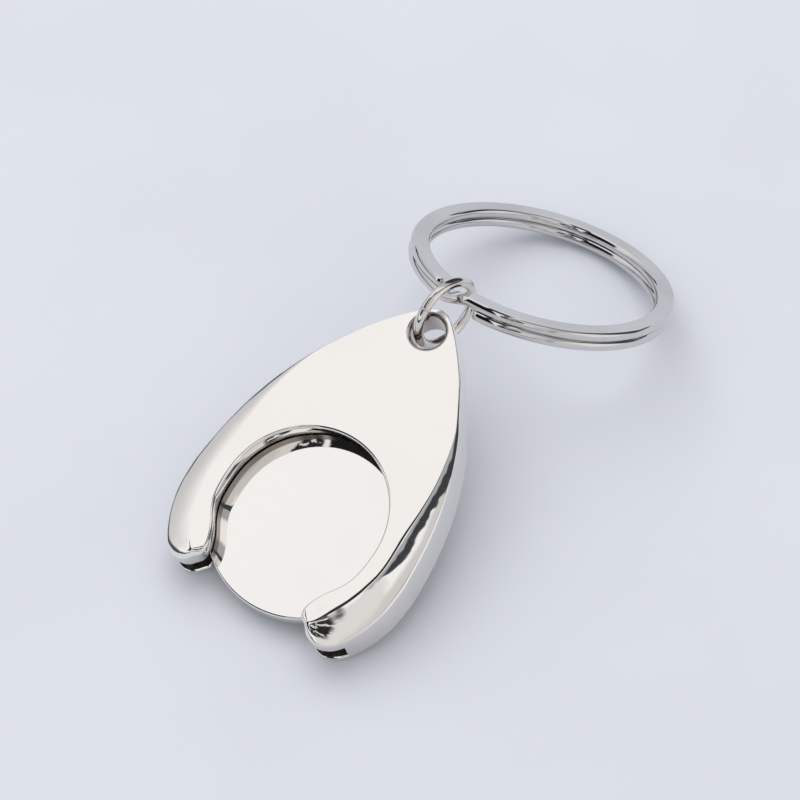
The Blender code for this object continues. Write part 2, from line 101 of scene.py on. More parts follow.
class Graph:
    """A shader node tree with short calls that add and join its nodes."""

    def __init__(self, tree: bpy.types.NodeTree) -> None:
        """Keep the tree that the nodes go into.

        Args:
            tree: The node tree of a material, a world or a node group.
        """
        self.tree = tree

    def add(self, kind: str, inputs: dict | None = None, **settings: object) -> bpy.types.Node:
        """Add a node and set it up.

        Args:
            kind: The node's Blender type.
            inputs: Values or output sockets by input name or number.
            settings: Properties of the node.

        Returns:
            The new node.
        """
        node = self.tree.nodes.new(kind)
        for name, value in settings.items():
            setattr(node, name, value)
        for key, value in (inputs or {}).items():
            if isinstance(value, bpy.types.NodeSocket):
                self.tree.links.new(value, node.inputs[key])
            else:
                node.inputs[key].default_value = value
        return node

    def join(self, source: bpy.types.NodeSocket, target: bpy.types.NodeSocket) -> None:
        """Link an output to an input."""
        self.tree.links.new(source, target)

    def maths(self, operation: str, *values: Value) -> bpy.types.NodeSocket:
        """Add a Math node and return its result.

        Args:
            operation: The node's operation.
            values: Numbers or output sockets, in the order of the node's inputs.

        Returns:
            The result's socket.
        """
        node = self.add("ShaderNodeMath", dict(enumerate(values)), operation=operation)
        return node.outputs["Value"]

    def clamped(self, value: Value) -> bpy.types.NodeSocket:
        """Hold a value between 0 and 1."""
        return self.maths("MINIMUM", self.maths("MAXIMUM", value, 0.0), 1.0)

    def noise(self, place: bpy.types.NodeSocket, scale: Value, detail: float) -> bpy.types.NodeSocket:
        """Add smooth noise and return its value.

        Args:
            place: The place where it is read.
            scale: How many waves it has in a unit of length.
            detail: How many finer layers it has.

        Returns:
            The noise's socket.
        """
        node = self.add("ShaderNodeTexNoise", {"Vector": place, "Scale": scale, "Detail": detail})
        return node.outputs["Fac"]

    def ramp(self, value: Value, start: float, end: float) -> bpy.types.NodeSocket:
        """Ease a value smoothly from 0 to 1.

        Args:
            value: The value that is read.
            start: Where the result leaves 0.
            end: Where it reaches 1, which may lie below the start.

        Returns:
            The result's socket.
        """
        node = self.add(
            "ShaderNodeMapRange",
            {"Value": value, "From Min": start, "From Max": end},
            interpolation_type="SMOOTHSTEP",
        )
        return node.outputs["Result"]

    def mix(self, factor: Value, first: Tone, second: Tone) -> bpy.types.NodeSocket:
        """Mix two colours.

        Args:
            factor: Share of the second colour.
            first: Colour at factor 0.
            second: Colour at factor 1.

        Returns:
            The mixed colour's socket.
        """
        node = self.add("ShaderNodeMix", data_type="RGBA")
        sockets = {socket.identifier: socket for socket in (*node.inputs, *node.outputs)}
        for name, value in (("Factor_Float", factor), ("A_Color", first), ("B_Color", second)):
            if isinstance(value, bpy.types.NodeSocket):
                self.join(value, sockets[name])
            elif isinstance(value, tuple):
                sockets[name].default_value = (*value, 1.0)
            else:
                sockets[name].default_value = value
        return sockets["Result_Color"]


def new_group(
    name: str, inputs: dict[str, tuple[str, float | tuple | None]], outputs: dict[str, str]
) -> tuple[Graph, bpy.types.Node, bpy.types.Node]:
    """Start a shader node group with named sockets.

    Args:
        name: Name of the group.
        inputs: Socket type and default value by input name.
        outputs: Socket type by output name.

    Returns:
        The group's graph, its input node and its output node.
    """
    tree = bpy.data.node_groups.new(name, "ShaderNodeTree")
    for label, (kind, value) in inputs.items():
        socket = tree.interface.new_socket(label, in_out="INPUT", socket_type=kind)
        if value is not None:
            socket.default_value = value
    for label, kind in outputs.items():
        tree.interface.new_socket(label, in_out="OUTPUT", socket_type=kind)
    graph = Graph(tree)
    return graph, graph.add("NodeGroupInput"), graph.add("NodeGroupOutput")


@dataclass(frozen=True)
class Hairlines:
    """Fine polishing lines along slanted directions, broken up into patches."""

    lines_per_metre: float = 9000.0
    patches_per_metre: float = 160.0
    cover: float = 0.5
    # Each direction's turn, and how little the noise changes along its lines
    directions: tuple[tuple[float, float], ...] = ((0.55, 0.012), (-0.95, 0.02), (1.9, 0.015))
    line_start: float = 0.66
    line_full: float = 0.78
    line_detail: float = 1.0
    patch_detail: float = 3.0
    patch_contrast: float = 4.0

    def group(self) -> bpy.types.NodeTree:
        """Build the node group.

        Returns:
            The group, with a mask and a height over the surface.
        """
        graph, given, result = new_group(
            "hairlines",
            {
                "Vector": ("NodeSocketVector", None),
                "Lines per metre": ("NodeSocketFloat", self.lines_per_metre),
                "Patches per metre": ("NodeSocketFloat", self.patches_per_metre),
                "Cover": ("NodeSocketFloat", self.cover),
            },
            {"Mask": "NodeSocketFloat", "Height": "NodeSocketFloat"},
        )
        place = given.outputs["Vector"]
        scale = given.outputs["Lines per metre"]
        lines = None
        for turn, stretch in self.directions:
            turned = graph.add("ShaderNodeMapping", {"Vector": place, "Rotation": (0.0, 0.0, turn)})
            squeezed = graph.add(
                "ShaderNodeMapping", {"Vector": turned.outputs["Vector"], "Scale": (1.0, stretch, 1.0)}
            )
            noise = graph.noise(squeezed.outputs["Vector"], scale, self.line_detail)
            line = graph.ramp(noise, self.line_start, self.line_full)
            lines = line if lines is None else graph.maths("MAXIMUM", lines, line)
        patch = graph.noise(place, given.outputs["Patches per metre"], self.patch_detail)
        threshold = graph.maths("SUBTRACT", 1.0, given.outputs["Cover"])
        over = graph.maths("SUBTRACT", patch, threshold)
        shown = graph.clamped(graph.maths("MULTIPLY", over, self.patch_contrast))
        mask = graph.maths("MULTIPLY", lines, shown)
        graph.join(mask, result.inputs["Mask"])
        graph.join(graph.maths("MULTIPLY", mask, -1.0), result.inputs["Height"])
        return graph.tree


@dataclass(frozen=True)
class PlatingTone:
    """Slow drift of a plated surface's colour between two tones, with a faint cloudiness."""

    bright: Colour = (0.9, 0.9, 0.9)
    dull: Colour = (0.8, 0.8, 0.8)
    clouds_per_metre: float = 90.0
    detail: float = 4.0
    dull_start: float = 0.35
    dull_full: float = 0.7

    def group(self) -> bpy.types.NodeTree:
        """Build the node group.

        Returns:
            The group, with a colour and a mask over the surface.
        """
        graph, given, result = new_group(
            "plating_tone",
            {
                "Vector": ("NodeSocketVector", None),
                "Bright": ("NodeSocketColor", (*self.bright, 1.0)),
                "Dull": ("NodeSocketColor", (*self.dull, 1.0)),
                "Clouds per metre": ("NodeSocketFloat", self.clouds_per_metre),
            },
            {"Color": "NodeSocketColor", "Mask": "NodeSocketFloat"},
        )
        clouds = graph.noise(given.outputs["Vector"], given.outputs["Clouds per metre"], self.detail)
        mask = graph.ramp(clouds, self.dull_start, self.dull_full)
        colour = graph.mix(mask, given.outputs["Bright"], given.outputs["Dull"])
        graph.join(colour, result.inputs["Color"])
        graph.join(mask, result.inputs["Mask"])
        return graph.tree


@dataclass(frozen=True)
class CastGrain:
    """Pitted grain of an unpolished cast surface, from coarse lumps down to fine pits."""

    grains_per_metre: float = 4000.0
    detail: float = 4.0
    lump_scale_share: float = 0.35
    lump_height: float = 0.6
    pit_start: float = 0.55
    pit_full: float = 0.95

    def group(self) -> bpy.types.NodeTree:
        """Build the node group.

        Returns:
            The group, with a mask of the pits and a height over the surface.
        """
        graph, given, result = new_group(
            "cast_grain",
            {
                "Vector": ("NodeSocketVector", None),
                "Grains per metre": ("NodeSocketFloat", self.grains_per_metre),
            },
            {"Mask": "NodeSocketFloat", "Height": "NodeSocketFloat"},
        )
        place = given.outputs["Vector"]
        fine = graph.noise(place, given.outputs["Grains per metre"], self.detail)
        coarse = graph.maths("MULTIPLY", given.outputs["Grains per metre"], self.lump_scale_share)
        lumps = graph.add("ShaderNodeTexVoronoi", {"Vector": place, "Scale": coarse})
        lump = graph.maths("MULTIPLY", lumps.outputs["Distance"], self.lump_height)
        height = graph.maths("ADD", fine, lump)
        graph.join(graph.ramp(height, self.pit_start, self.pit_full), result.inputs["Mask"])
        graph.join(height, result.inputs["Height"])
        return graph.tree


@dataclass(frozen=True)
class RubbedEdges:
    """Rubbed convex edges, broken up by noise."""

    start: float = 0.52
    contrast: float = 12.0
    breaks_per_metre: float = 1200.0
    detail: float = 3.0
    break_start: float = 0.4
    break_full: float = 0.62

    def group(self) -> bpy.types.NodeTree:
        """Build the node group.

        Returns:
            The group, with a mask that is 1 where an edge is rubbed.
        """
        graph, given, result = new_group(
            "rubbed_edges",
            {
                "Vector": ("NodeSocketVector", None),
                "Start": ("NodeSocketFloat", self.start),
                "Breaks per metre": ("NodeSocketFloat", self.breaks_per_metre),
            },
            {"Mask": "NodeSocketFloat"},
        )
        pointed = graph.add("ShaderNodeNewGeometry").outputs["Pointiness"]
        over = graph.maths("SUBTRACT", pointed, given.outputs["Start"])
        edge = graph.clamped(graph.maths("MULTIPLY", over, self.contrast))
        noise = graph.noise(given.outputs["Vector"], given.outputs["Breaks per metre"], self.detail)
        broken = graph.ramp(noise, self.break_start, self.break_full)
        graph.join(graph.maths("MULTIPLY", edge, broken), result.inputs["Mask"])
        return graph.tree


@dataclass
class Effects:
    """The node groups that the finishes share."""

    hairlines: bpy.types.NodeTree = field(default_factory=Hairlines().group)
    tone: bpy.types.NodeTree = field(default_factory=PlatingTone().group)
    grain: bpy.types.NodeTree = field(default_factory=CastGrain().group)
    edges: bpy.types.NodeTree = field(default_factory=RubbedEdges().group)


class Metal:
    """A metal material in the making: its graph, its shader and the place on its piece."""

    def __init__(self, name: str) -> None:
        """Start the material.

        Args:
            name: Name of the material.
        """
        self.material = bpy.data.materials.new(name)
        self.material.use_nodes = True
        self.graph = Graph(self.material.node_tree)
        self.shader = self.material.node_tree.nodes["Principled BSDF"]
        self.shader.inputs["Metallic"].default_value = 1.0
        self.place = self.graph.add("ShaderNodeTexCoord").outputs["Object"]

    def effect(self, group: bpy.types.NodeTree, inputs: dict[str, float | tuple]) -> bpy.types.Node:
        """Place a shared effect in the material.

        Args:
            group: The effect's node group.
            inputs: Values by input name.

        Returns:
            The effect's node.
        """
        return self.graph.add("ShaderNodeGroup", {"Vector": self.place, **inputs}, node_tree=group)

    def finished(
        self, colour: bpy.types.NodeSocket, roughness: bpy.types.NodeSocket, height: bpy.types.NodeSocket
    ) -> bpy.types.Material:
        """Feed the shader and hand the material over.

        Args:
            colour: The surface's colour.
            roughness: Its roughness.
            height: Its relief, in metres.

        Returns:
            The material.
        """
        self.graph.join(colour, self.shader.inputs["Base Color"])
        self.graph.join(roughness, self.shader.inputs["Roughness"])
        bump = self.graph.add("ShaderNodeBump", {"Height": height, "Distance": 1.0})
        self.graph.join(bump.outputs["Normal"], self.shader.inputs["Normal"])
        return self.material


@dataclass(frozen=True)
class Plating:
    """A polished and plated metal surface."""

    name: str
    bright: Colour
    dull: Colour
    roughness: float
    hairline_roughness: float = 0.12
    edge_roughness: float = 0.08
    cloud_roughness: float = 0.02
    hairline_cover: float = 0.45
    hairline_depth: float = 2e-8
    scratch_share: float = 0.88
    scratch_strength: float = 0.5
    ripple: float = 0.0
    ripples_per_metre: float = 450.0
    ripple_detail: float = 1.0
    grain: float = 0.0
    grains_per_metre: float = 5000.0
    clouds_per_metre: float = 90.0

    def material(self, effects: Effects) -> bpy.types.Material:
        """Make the material.

        Args:
            effects: The shared node groups.

        Returns:
            The new material.
        """
        metal = Metal(self.name)
        graph = metal.graph
        tones = {"Bright": (*self.bright, 1.0), "Dull": (*self.dull, 1.0)}
        tone = metal.effect(effects.tone, {**tones, "Clouds per metre": self.clouds_per_metre})
        lines = metal.effect(effects.hairlines, {"Cover": self.hairline_cover})
        edges = metal.effect(effects.edges, {})
        scratched = tuple(self.scratch_share * value for value in self.dull)
        scratches = graph.maths("MULTIPLY", lines.outputs["Mask"], self.scratch_strength)
        colour = graph.mix(scratches, tone.outputs["Color"], scratched)

        rough: Value = self.roughness
        for effect, change in (
            (lines, self.hairline_roughness), (edges, self.edge_roughness), (tone, self.cloud_roughness)
        ):
            rough = graph.maths("ADD", rough, graph.maths("MULTIPLY", effect.outputs["Mask"], change))

        height = graph.maths("MULTIPLY", lines.outputs["Height"], self.hairline_depth)
        if self.ripple:
            wave = graph.noise(metal.place, self.ripples_per_metre, self.ripple_detail)
            height = graph.maths("ADD", height, graph.maths("MULTIPLY", wave, self.ripple))
        if self.grain:
            grain = metal.effect(effects.grain, {"Grains per metre": self.grains_per_metre})
            relief = graph.maths("MULTIPLY", grain.outputs["Height"], self.grain)
            height = graph.maths("ADD", height, relief)
        return metal.finished(colour, rough, height)


@dataclass(frozen=True)
class CastSkinAndShade:
    """The rough, unpolished cast skin, its brown darkened near black as painted shade."""

    name: str
    light: Colour
    dark: Colour
    roughness: float
    grain: float
    grains_per_metre: float
    pit_roughness: float = 0.2

    def material(self, effects: Effects) -> bpy.types.Material:
        """Make the material.

        Args:
            effects: The shared node groups.

        Returns:
            The new material.
        """
        metal = Metal(self.name)
        graph = metal.graph
        grain = metal.effect(effects.grain, {"Grains per metre": self.grains_per_metre})
        colour = graph.mix(grain.outputs["Mask"], self.light, self.dark)
        rougher = graph.maths("MULTIPLY", grain.outputs["Mask"], self.pit_roughness)
        rough = graph.maths("ADD", rougher, self.roughness)
        return metal.finished(colour, rough, graph.maths("MULTIPLY", grain.outputs["Height"], self.grain))


@dataclass(frozen=True)
class FloorPaper:
    """Smooth pale paper with a faint mottle."""

    name: str = "pale_paper"
    colour: Colour = (0.74, 0.765, 0.825)
    darker_share: float = 0.97
    mottles_per_metre: float = 25.0
    mottle_detail: float = 4.0
    mottle_start: float = 0.35
    mottle_full: float = 0.65
    roughness: float = 0.85
    specular: float = 0.1

    def material(self) -> bpy.types.Material:
        """Make the material.

        Returns:
            The new material.
        """
        material = bpy.data.materials.new(self.name)
        material.use_nodes = True
        graph = Graph(material.node_tree)
        shader = material.node_tree.nodes["Principled BSDF"]
        shader.inputs["Roughness"].default_value = self.roughness
        shader.inputs["Specular IOR Level"].default_value = self.specular
        place = graph.add("ShaderNodeTexCoord").outputs["Object"]
        mottle = graph.noise(place, self.mottles_per_metre, self.mottle_detail)
        darker = tuple(self.darker_share * value for value in self.colour)
        colour = graph.mix(graph.ramp(mottle, self.mottle_start, self.mottle_full), self.colour, darker)
        graph.join(colour, shader.inputs["Base Color"])
        return material


def catmull_rom(points: Sequence[Vector], steps: int, before_first: Vector | None = None) -> list[Vector]:
    """Find points on a smooth curve through all the given vectors, ends included.

    Args:
        points: The vectors that the curve passes through.
        steps: How many points lie between each two of them.
        before_first: Where the curve would come from, or nothing where it starts straight.

    Returns:
        The curve's points.
    """
    if before_first is None:
        before_first = 2 * points[0] - points[1]
    padded = [before_first, *points, 2 * points[-1] - points[-2]]
    curve = []
    for before, start, end, after in zip(padded, padded[1:], padded[2:], padded[3:]):
        for step in range(steps):
            t = step / steps
            curve.append(
                0.5 * (2 * start + (end - before) * t
                       + (2 * before - 5 * start + 4 * end - after) * t ** 2
                       + (3 * start - before - 3 * end + after) * t ** 3)
            )
    curve.append(points[-1])
    return curve


def smooth_step(t: float) -> float:
    """Ease from 0 to 1 with level ends, and hold them outside."""
    t = min(max(t, 0.0), 1.0)
    return t * t * (3 - 2 * t)


def loft(bm: bmesh.types.BMesh, rings: Sequence[Sequence[Vector]]) -> list[list[bmesh.types.BMFace]]:
    """Skin closed rings of equal count with quads, and cap the first and the last.

    Args:
        bm: The mesh that the faces go into.
        rings: The rings of points, in order.

    Returns:
        The side faces, one list for each two rings.
    """
    loops = [[bm.verts.new(point) for point in ring] for ring in rings]
    bands = []
    for lower, upper in zip(loops, loops[1:]):
        band = []
        for index in range(len(lower)):
            after = (index + 1) % len(lower)
            band.append(bm.faces.new((lower[index], lower[after], upper[after], upper[index])))
        bands.append(band)
    bm.faces.new(loops[0][::-1])
    bm.faces.new(loops[-1])
    return bands


def turned_mesh(name: str, profile: Profile, segments: int) -> bpy.types.Mesh:
    """Turn a profile round Z into a closed mesh with flat ends.

    Args:
        name: Name of the mesh.
        profile: Radius and height of each point off the axis, from the bottom to the top.
        segments: How many sides the mesh has.

    Returns:
        The mesh.
    """
    bm = bmesh.new()
    rings = []
    for radius, height in profile:
        turns = [2 * math.pi * index / segments for index in range(segments)]
        rings.append([Vector((radius * math.cos(a), radius * math.sin(a), height)) for a in turns])
    loft(bm, rings)
    return finished_mesh(bm, name)


def finished_mesh(bm: bmesh.types.BMesh, name: str) -> bpy.types.Mesh:
    """Turn a bmesh into a mesh with its faces pointing out.

    Args:
        bm: The bmesh, which is freed.
        name: Name of the mesh.

    Returns:
        The mesh.
    """
    bmesh.ops.recalc_face_normals(bm, faces=bm.faces)
    mesh = bpy.data.meshes.new(name)
    bm.to_mesh(mesh)
    bm.free()
    return mesh


def add_object(name: str, mesh: bpy.types.Mesh, place: Matrix | None = None) -> bpy.types.Object:
    """Link a new object to the scene, at the origin and with its place in its mesh.

    Args:
        name: Name of the object.
        mesh: Its mesh.
        place: Where the mesh goes, or nothing where it already lies there.

    Returns:
        The object.
    """
    thing = bpy.data.objects.new(name, mesh)
    bpy.context.scene.collection.objects.link(thing)
    if place is not None:
        mesh.transform(place)
    return thing


def shade_crisp(thing: bpy.types.Object, angle: float) -> None:
    """Shade an object smooth between crisp edges, with its flats kept flat.

    Args:
        thing: The object.
        angle: Edges that turn more than this stay crisp.
    """
    thing.data.shade_smooth()
    thing.data.set_sharp_from_angle(angle=angle)
    flats = thing.modifiers.new("keep_flats_flat", "WEIGHTED_NORMAL")
    flats.keep_sharp = True
    flats.weight = FLATNESS_WEIGHT


def carry(thing: bpy.types.Object, body: Body, node: str) -> None:
    """Let a piece ride on its body and stand for its CAD node, and log it.

    Args:
        thing: The piece.
        body: The body that it rides on.
        node: The CAD node that it stands for.
    """
    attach(thing, body.value)
    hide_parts(node)
    LOG.info("%s rides on %s: %d faces", thing.name, body.value, len(thing.data.polygons))


@dataclass(frozen=True)
class OutlinePoint:
    """One place on the holder's outline.

    The wall stands on the foot and ends below the front face by the drop. From there the side leads
    to the edge of the flat face, fully crowned where the crown is 1 and plainly rounded where it is 0.
    """

    foot: Vector
    wall: Vector
    edge: Vector
    drop: float
    crown: float
    in_cutout: bool

    def mirrored(self) -> "OutlinePoint":
        """Find the same place on the holder's other half."""
        flip = Matrix.Scale(-1, 2, Vector((1, 0)))
        return replace(self, foot=flip @ self.foot, wall=flip @ self.wall, edge=flip @ self.edge)


@dataclass
class TrolleyToken:
    """Plain round steel token that lies loose in the slot."""

    diameter: float = 0.02325
    thickness: float = 0.0017
    edge: float = 0.00022
    segments: int = 360
    edge_steps: int = 5
    crisp_angle: float = math.radians(30.0)
    finish: Plating = Plating("mirror_nickel_token", (0.888, 0.866, 0.845), (0.872, 0.850, 0.829), 0.03)

    @property
    def radius(self) -> float:
        """Half the token's diameter."""
        return self.diameter / 2

    def build(self, depth: float, place: Matrix, effects: Effects) -> bpy.types.Object:
        """Build and dress the token.

        Args:
            depth: How far its middle lies below the holder's front face.
            place: The holder's frame.
            effects: The shared node groups.

        Returns:
            The token.
        """
        half = self.thickness / 2
        profile = []
        for step in range(self.edge_steps + 1):
            turn = math.pi / 2 * step / self.edge_steps
            radius = self.radius - self.edge * (1 - math.sin(turn))
            profile.append((radius, -half + self.edge * (1 - math.cos(turn))))
        profile += [(radius, -height) for radius, height in reversed(profile)]
        mesh = turned_mesh("token_blank", profile, self.segments)
        mesh.materials.append(self.finish.material(effects))
        token = add_object("token_blank", mesh, place @ Matrix.Translation((0, 0, -depth)))
        shade_crisp(token, self.crisp_angle)
        return token


@dataclass
class CoinHolder:
    """The one-piece casting: two wishbone plates joined at the head and along the outer wall."""

    token: TrolleyToken

    # Plates, the slot between them and its rounded mouth
    clearance: float = 0.0003
    front_plate: float = 0.0028
    back_plate: float = 0.0009
    side_wall: float = 0.00205
    mouth_round: float = 0.0002
    mouth_round_profile: float = 0.5
    mouth_corner: float = math.radians(60.0)

    # Outline: the hole's place, the reach of head and tips, and the fall of the arms' top line
    neck: float = 0.011825
    head_reach: float = 0.00295
    tip_overhang: float = 0.00015
    arm_drop: float = 0.0014

    # Arms: their walls lean out towards the back, and from the shoulders down they swell a little
    wall_flare: float = 0.00017
    flare_start: float = 0.016
    flare_length: float = 0.018
    arm_swell: float = 0.00023
    swell_start: float = 0.018
    swell_length: float = 0.006

    # Crowned sides: a rounded edge over the wall, and a crease along the flat face
    edge_round: float = 0.00034
    crease_slope_share: float = 0.5
    crease_round_share: float = 0.12

    # Cut-out: a ledge over the token, whose wall leans out under its lip, with the polished plating at the
    # top and a darker brown-grey below
    ledge: float = 0.001675
    cutout_lowering: float = 0.0005
    rim_round: float = 0.0003
    lip: float = 0.00045
    lip_depth: float = 0.0029
    polished_depth: float = 0.0019

    # Back face, the ramp up to the thinner head, and the hole through it
    back_round: float = 0.00045
    head_thickness: float = 0.0044
    ramp_start: float = 0.0019
    ramp_length: float = 0.0068
    hole_diameter: float = 0.0039
    hole_round: float = 0.0004

    # Magnet in its pocket
    magnet_diameter: float = 0.003
    magnet_thickness: float = 0.0015

    # Counts of steps and points, and the angle of a crisp edge
    outline_steps: int = 12
    cutout_steps: int = 90
    cutout_lead_in: int = 4
    crown_fade_points: int = 4
    land_tip_points: int = 2
    edge_round_levels: int = 8
    crown_levels: int = 12
    crease_levels: int = 5
    round_steps: int = 8
    mouth_round_steps: int = 3
    ramp_stations: int = 20
    slot_segments: int = 180
    hole_segments: int = 128
    crisp_angle: float = math.radians(13.0)

    plating: Plating = Plating(
        "polished_nickel_casting", (0.888, 0.863, 0.839), (0.872, 0.846, 0.821), 0.035, ripple=3e-5
    )
    wall_plating: Plating = Plating(
        "wall_plating", (0.40, 0.355, 0.32), (0.28, 0.245, 0.22), 0.16, grain=2e-6, grains_per_metre=3500.0
    )
    hole_plating: Plating = Plating("hole_plating", (0.54, 0.50, 0.475), (0.38, 0.345, 0.32), 0.08)
    # Inside the slot and the magnet's pocket: rough cast skin whose near-black brown is painted shade
    slot_skin_and_shade: CastSkinAndShade = CastSkinAndShade(
        "slot_cast_skin_and_painted_shade", (0.16, 0.13, 0.11), (0.05, 0.04, 0.035), 0.45, 3e-5, 3500.0
    )

    OUTSIDE_MATERIAL: ClassVar[int] = 0
    WALL_MATERIAL: ClassVar[int] = 1

    # Right half of the outline, from the nose round the arm tip to the lobe's inner corner. Each row
    # holds: across (share of the half width), along (share of the nose reach, or of the tip reach
    # where it is negative), the same two for the crease above it, and the drop (share of arm_drop).
    OUTER_SHARES: ClassVar[tuple[tuple[float, ...], ...]] = (
        (0.000, 1.000, 0.000, 0.993, 0.20),
        (0.093, 0.983, 0.086, 0.977, 0.20),
        (0.161, 0.956, 0.150, 0.951, 0.20),
        (0.276, 0.896, 0.263, 0.892, 0.20),
        (0.433, 0.798, 0.419, 0.795, 0.20),
        (0.578, 0.682, 0.563, 0.679, 0.20),
        (0.701, 0.568, 0.680, 0.566, 0.25),
        (0.794, 0.455, 0.744, 0.450, 0.36),
        (0.873, 0.341, 0.782, 0.336, 0.50),
        (0.930, 0.227, 0.793, 0.223, 0.63),
        (0.969, 0.114, 0.792, 0.114, 0.73),
        (0.992, 0.000, 0.805, 0.000, 0.80),
        (1.000, -0.170, 0.799, -0.178, 0.86),
        (0.984, -0.416, 0.757, -0.386, 0.91),
        (0.937, -0.620, 0.706, -0.545, 0.95),
        (0.869, -0.790, 0.662, -0.652, 0.98),
        (0.801, -0.905, 0.632, -0.735, 1.00),
        (0.737, -0.964, 0.609, -0.790, 1.00),
        (0.658, -0.994, 0.588, -0.828, 0.96),
        (0.587, -0.968, 0.574, -0.854, 0.84),
        (0.537, -0.909, 0.564, -0.868, 0.68),
    )
    # Inner side of the lobe, from that corner up to where it runs into the round cut-out.
    LOBE_SHARES: ClassVar[tuple[tuple[float, float], ...]] = (
        (0.505, -0.858),
        (0.504, -0.790),
        (0.519, -0.713),
        (0.565, -0.599),
        (0.637, -0.471),
        (0.688, -0.335),
        (0.708, -0.180),
    )

    @property
    def slot_height(self) -> float:
        """Height of the slot, the token's thickness with its clearance."""
        return self.token.thickness + 2 * self.clearance

    @property
    def slot_radius(self) -> float:
        """Radius of the slot's round blind end."""
        return self.token.radius + self.clearance

    @property
    def thickness(self) -> float:
        """Thickness of the whole holder."""
        return self.front_plate + self.slot_height + self.back_plate

    @property
    def half_width(self) -> float:
        """Half the width across the arms."""
        return self.slot_radius + self.side_wall

    @property
    def hole_centre(self) -> float:
        """How far the hole lies from the token's middle."""
        return self.token.radius + self.neck

    @property
    def token_depth(self) -> float:
        """How far the token's middle lies below the front face."""
        return self.front_plate + self.slot_height / 2

    def from_shares(self, across: float, along: float) -> tuple[float, float]:
        """Find a point of the outline from its shares of the half width and the reaches.

        Args:
            across: Share of the half width.
            along: Share of the nose reach, or of the tip reach where it is negative.

        Returns:
            The point's x and y.
        """
        nose = self.hole_centre + self.head_reach
        tip = self.token.radius + self.tip_overhang
        return across * self.half_width, along * (nose if along >= 0 else tip)

    def half_outline(self) -> list[OutlinePoint]:
        """Trace the right half, from the nose round the arm tip to the top of the cut-out.

        Returns:
            The half outline's points.
        """
        controls = []
        for across, along, edge_across, edge_along, drop in self.OUTER_SHARES:
            wall = self.from_shares(across, along)
            edge = self.from_shares(edge_across, edge_along)
            controls.append(Vector((*wall, *edge, drop * self.arm_drop)))
        steps = self.outline_steps
        before_nose = controls[1] * Vector((-1, 1, -1, 1, 1))
        outer = catmull_rom(controls, steps, before_nose)
        points = []
        blend_start = len(outer) - self.crown_fade_points * steps
        for index, (wall_x, wall_y, edge_x, edge_y, drop) in enumerate(outer):
            crown = 1 - smooth_step((index - blend_start) / (len(outer) + steps - blend_start))
            ahead, behind = outer[min(index + 1, len(outer) - 1)], outer[max(index - 1, 0)]
            along = (ahead - behind).to_2d().normalized()
            outwards = Vector((-along.y, along.x))
            swell = self.arm_swell * smooth_step((self.swell_start - wall_y) / self.swell_length)
            wall = Vector((wall_x, wall_y)) + outwards * swell * max(outwards.x, 0.0)
            points.append(OutlinePoint(wall, wall, Vector((edge_x, edge_y)), drop, crown, False))
        return points + self.inner_outline(points)

    def inner_outline(self, outer: list[OutlinePoint]) -> list[OutlinePoint]:
        """Trace the inner side of the lobe and the round cut-out.

        Args:
            outer: The outline so far, which this carries on.

        Returns:
            The points after the last one of the outer side.
        """
        steps = self.outline_steps
        centre = Vector((0, -self.cutout_lowering))
        radius = self.token.radius - self.ledge
        round_part = []
        for step in range(self.cutout_steps + 1):
            angle = math.pi / 2 * step / self.cutout_steps
            round_part.append(centre + radius * Vector((math.cos(angle), math.sin(angle))))
        lobe = [outer[-1 - steps].wall, outer[-1].wall]
        lobe += [Vector(self.from_shares(*shares)) for shares in self.LOBE_SHARES]
        lobe += [round_part[0], round_part[self.cutout_lead_in]]
        inner = catmull_rom(lobe, steps)[steps + 1:-steps - 1] + round_part
        last = outer[-1]
        joined = self.land_tip_points * steps
        walls, edges = [], []
        for index, point in enumerate(inner):
            ahead = inner[min(index + 1, len(inner) - 1)]
            behind = inner[index - 1] if index else last.wall
            along = (ahead - behind).normalized()
            if index == len(inner) - 1:
                along = Vector((-1.0, 0.0))
            into_metal = Vector((along.y, -along.x))
            walls.append(point - into_metal * self.lip * smooth_step((index + 1) / joined))
            edges.append(walls[-1] + into_metal * self.rim_round)
        points = []
        for index, (point, wall, edge) in enumerate(zip(inner, walls, edges)):
            if index < joined:
                edge = last.edge.lerp(edges[joined], (index + 1) / (joined + 1))
            ease = smooth_step((index + 1) / joined)
            depth = last.drop + (self.rim_round - last.drop) * ease
            points.append(OutlinePoint(point, wall, edge, depth, last.crown * (1 - ease), True))
        return points

    def full_outline(self) -> list[OutlinePoint]:
        """Join the half outline with its mirror image into one closed loop.

        Returns:
            The loop's points, from the nose on.
        """
        right = self.half_outline()
        return right + [point.mirrored() for point in reversed(right[1:-1])]

    @property
    def edge_levels(self) -> int:
        """How many steps lead from the wall's top line to the flat face."""
        return self.edge_round_levels + self.crown_levels + self.crease_levels

    def edge_point(self, point: OutlinePoint, level: int) -> Vector:
        """Find a point between the wall's top line and the flat face.

        Args:
            point: The place on the outline.
            level: 0 at the wall's top line, edge_levels at the flat face.

        Returns:
            The point in the holder's frame.
        """
        turn = math.pi / 2 * level / self.edge_levels
        flat = point.wall.lerp(point.edge, 1 - math.cos(turn))
        rim = Vector((flat.x, flat.y, -point.drop * (1 - math.sin(turn))))
        if point.crown <= 0:
            return rim
        return rim.lerp(self.crown_point(point, level), point.crown)

    def crown_point(self, point: OutlinePoint, level: int) -> Vector:
        """Find a point on the crowned side, which has a rounded edge and a softened crease.

        Args:
            point: The place on the outline.
            level: 0 at the wall's top line, edge_levels at the flat face.

        Returns:
            The point in the holder's frame.
        """
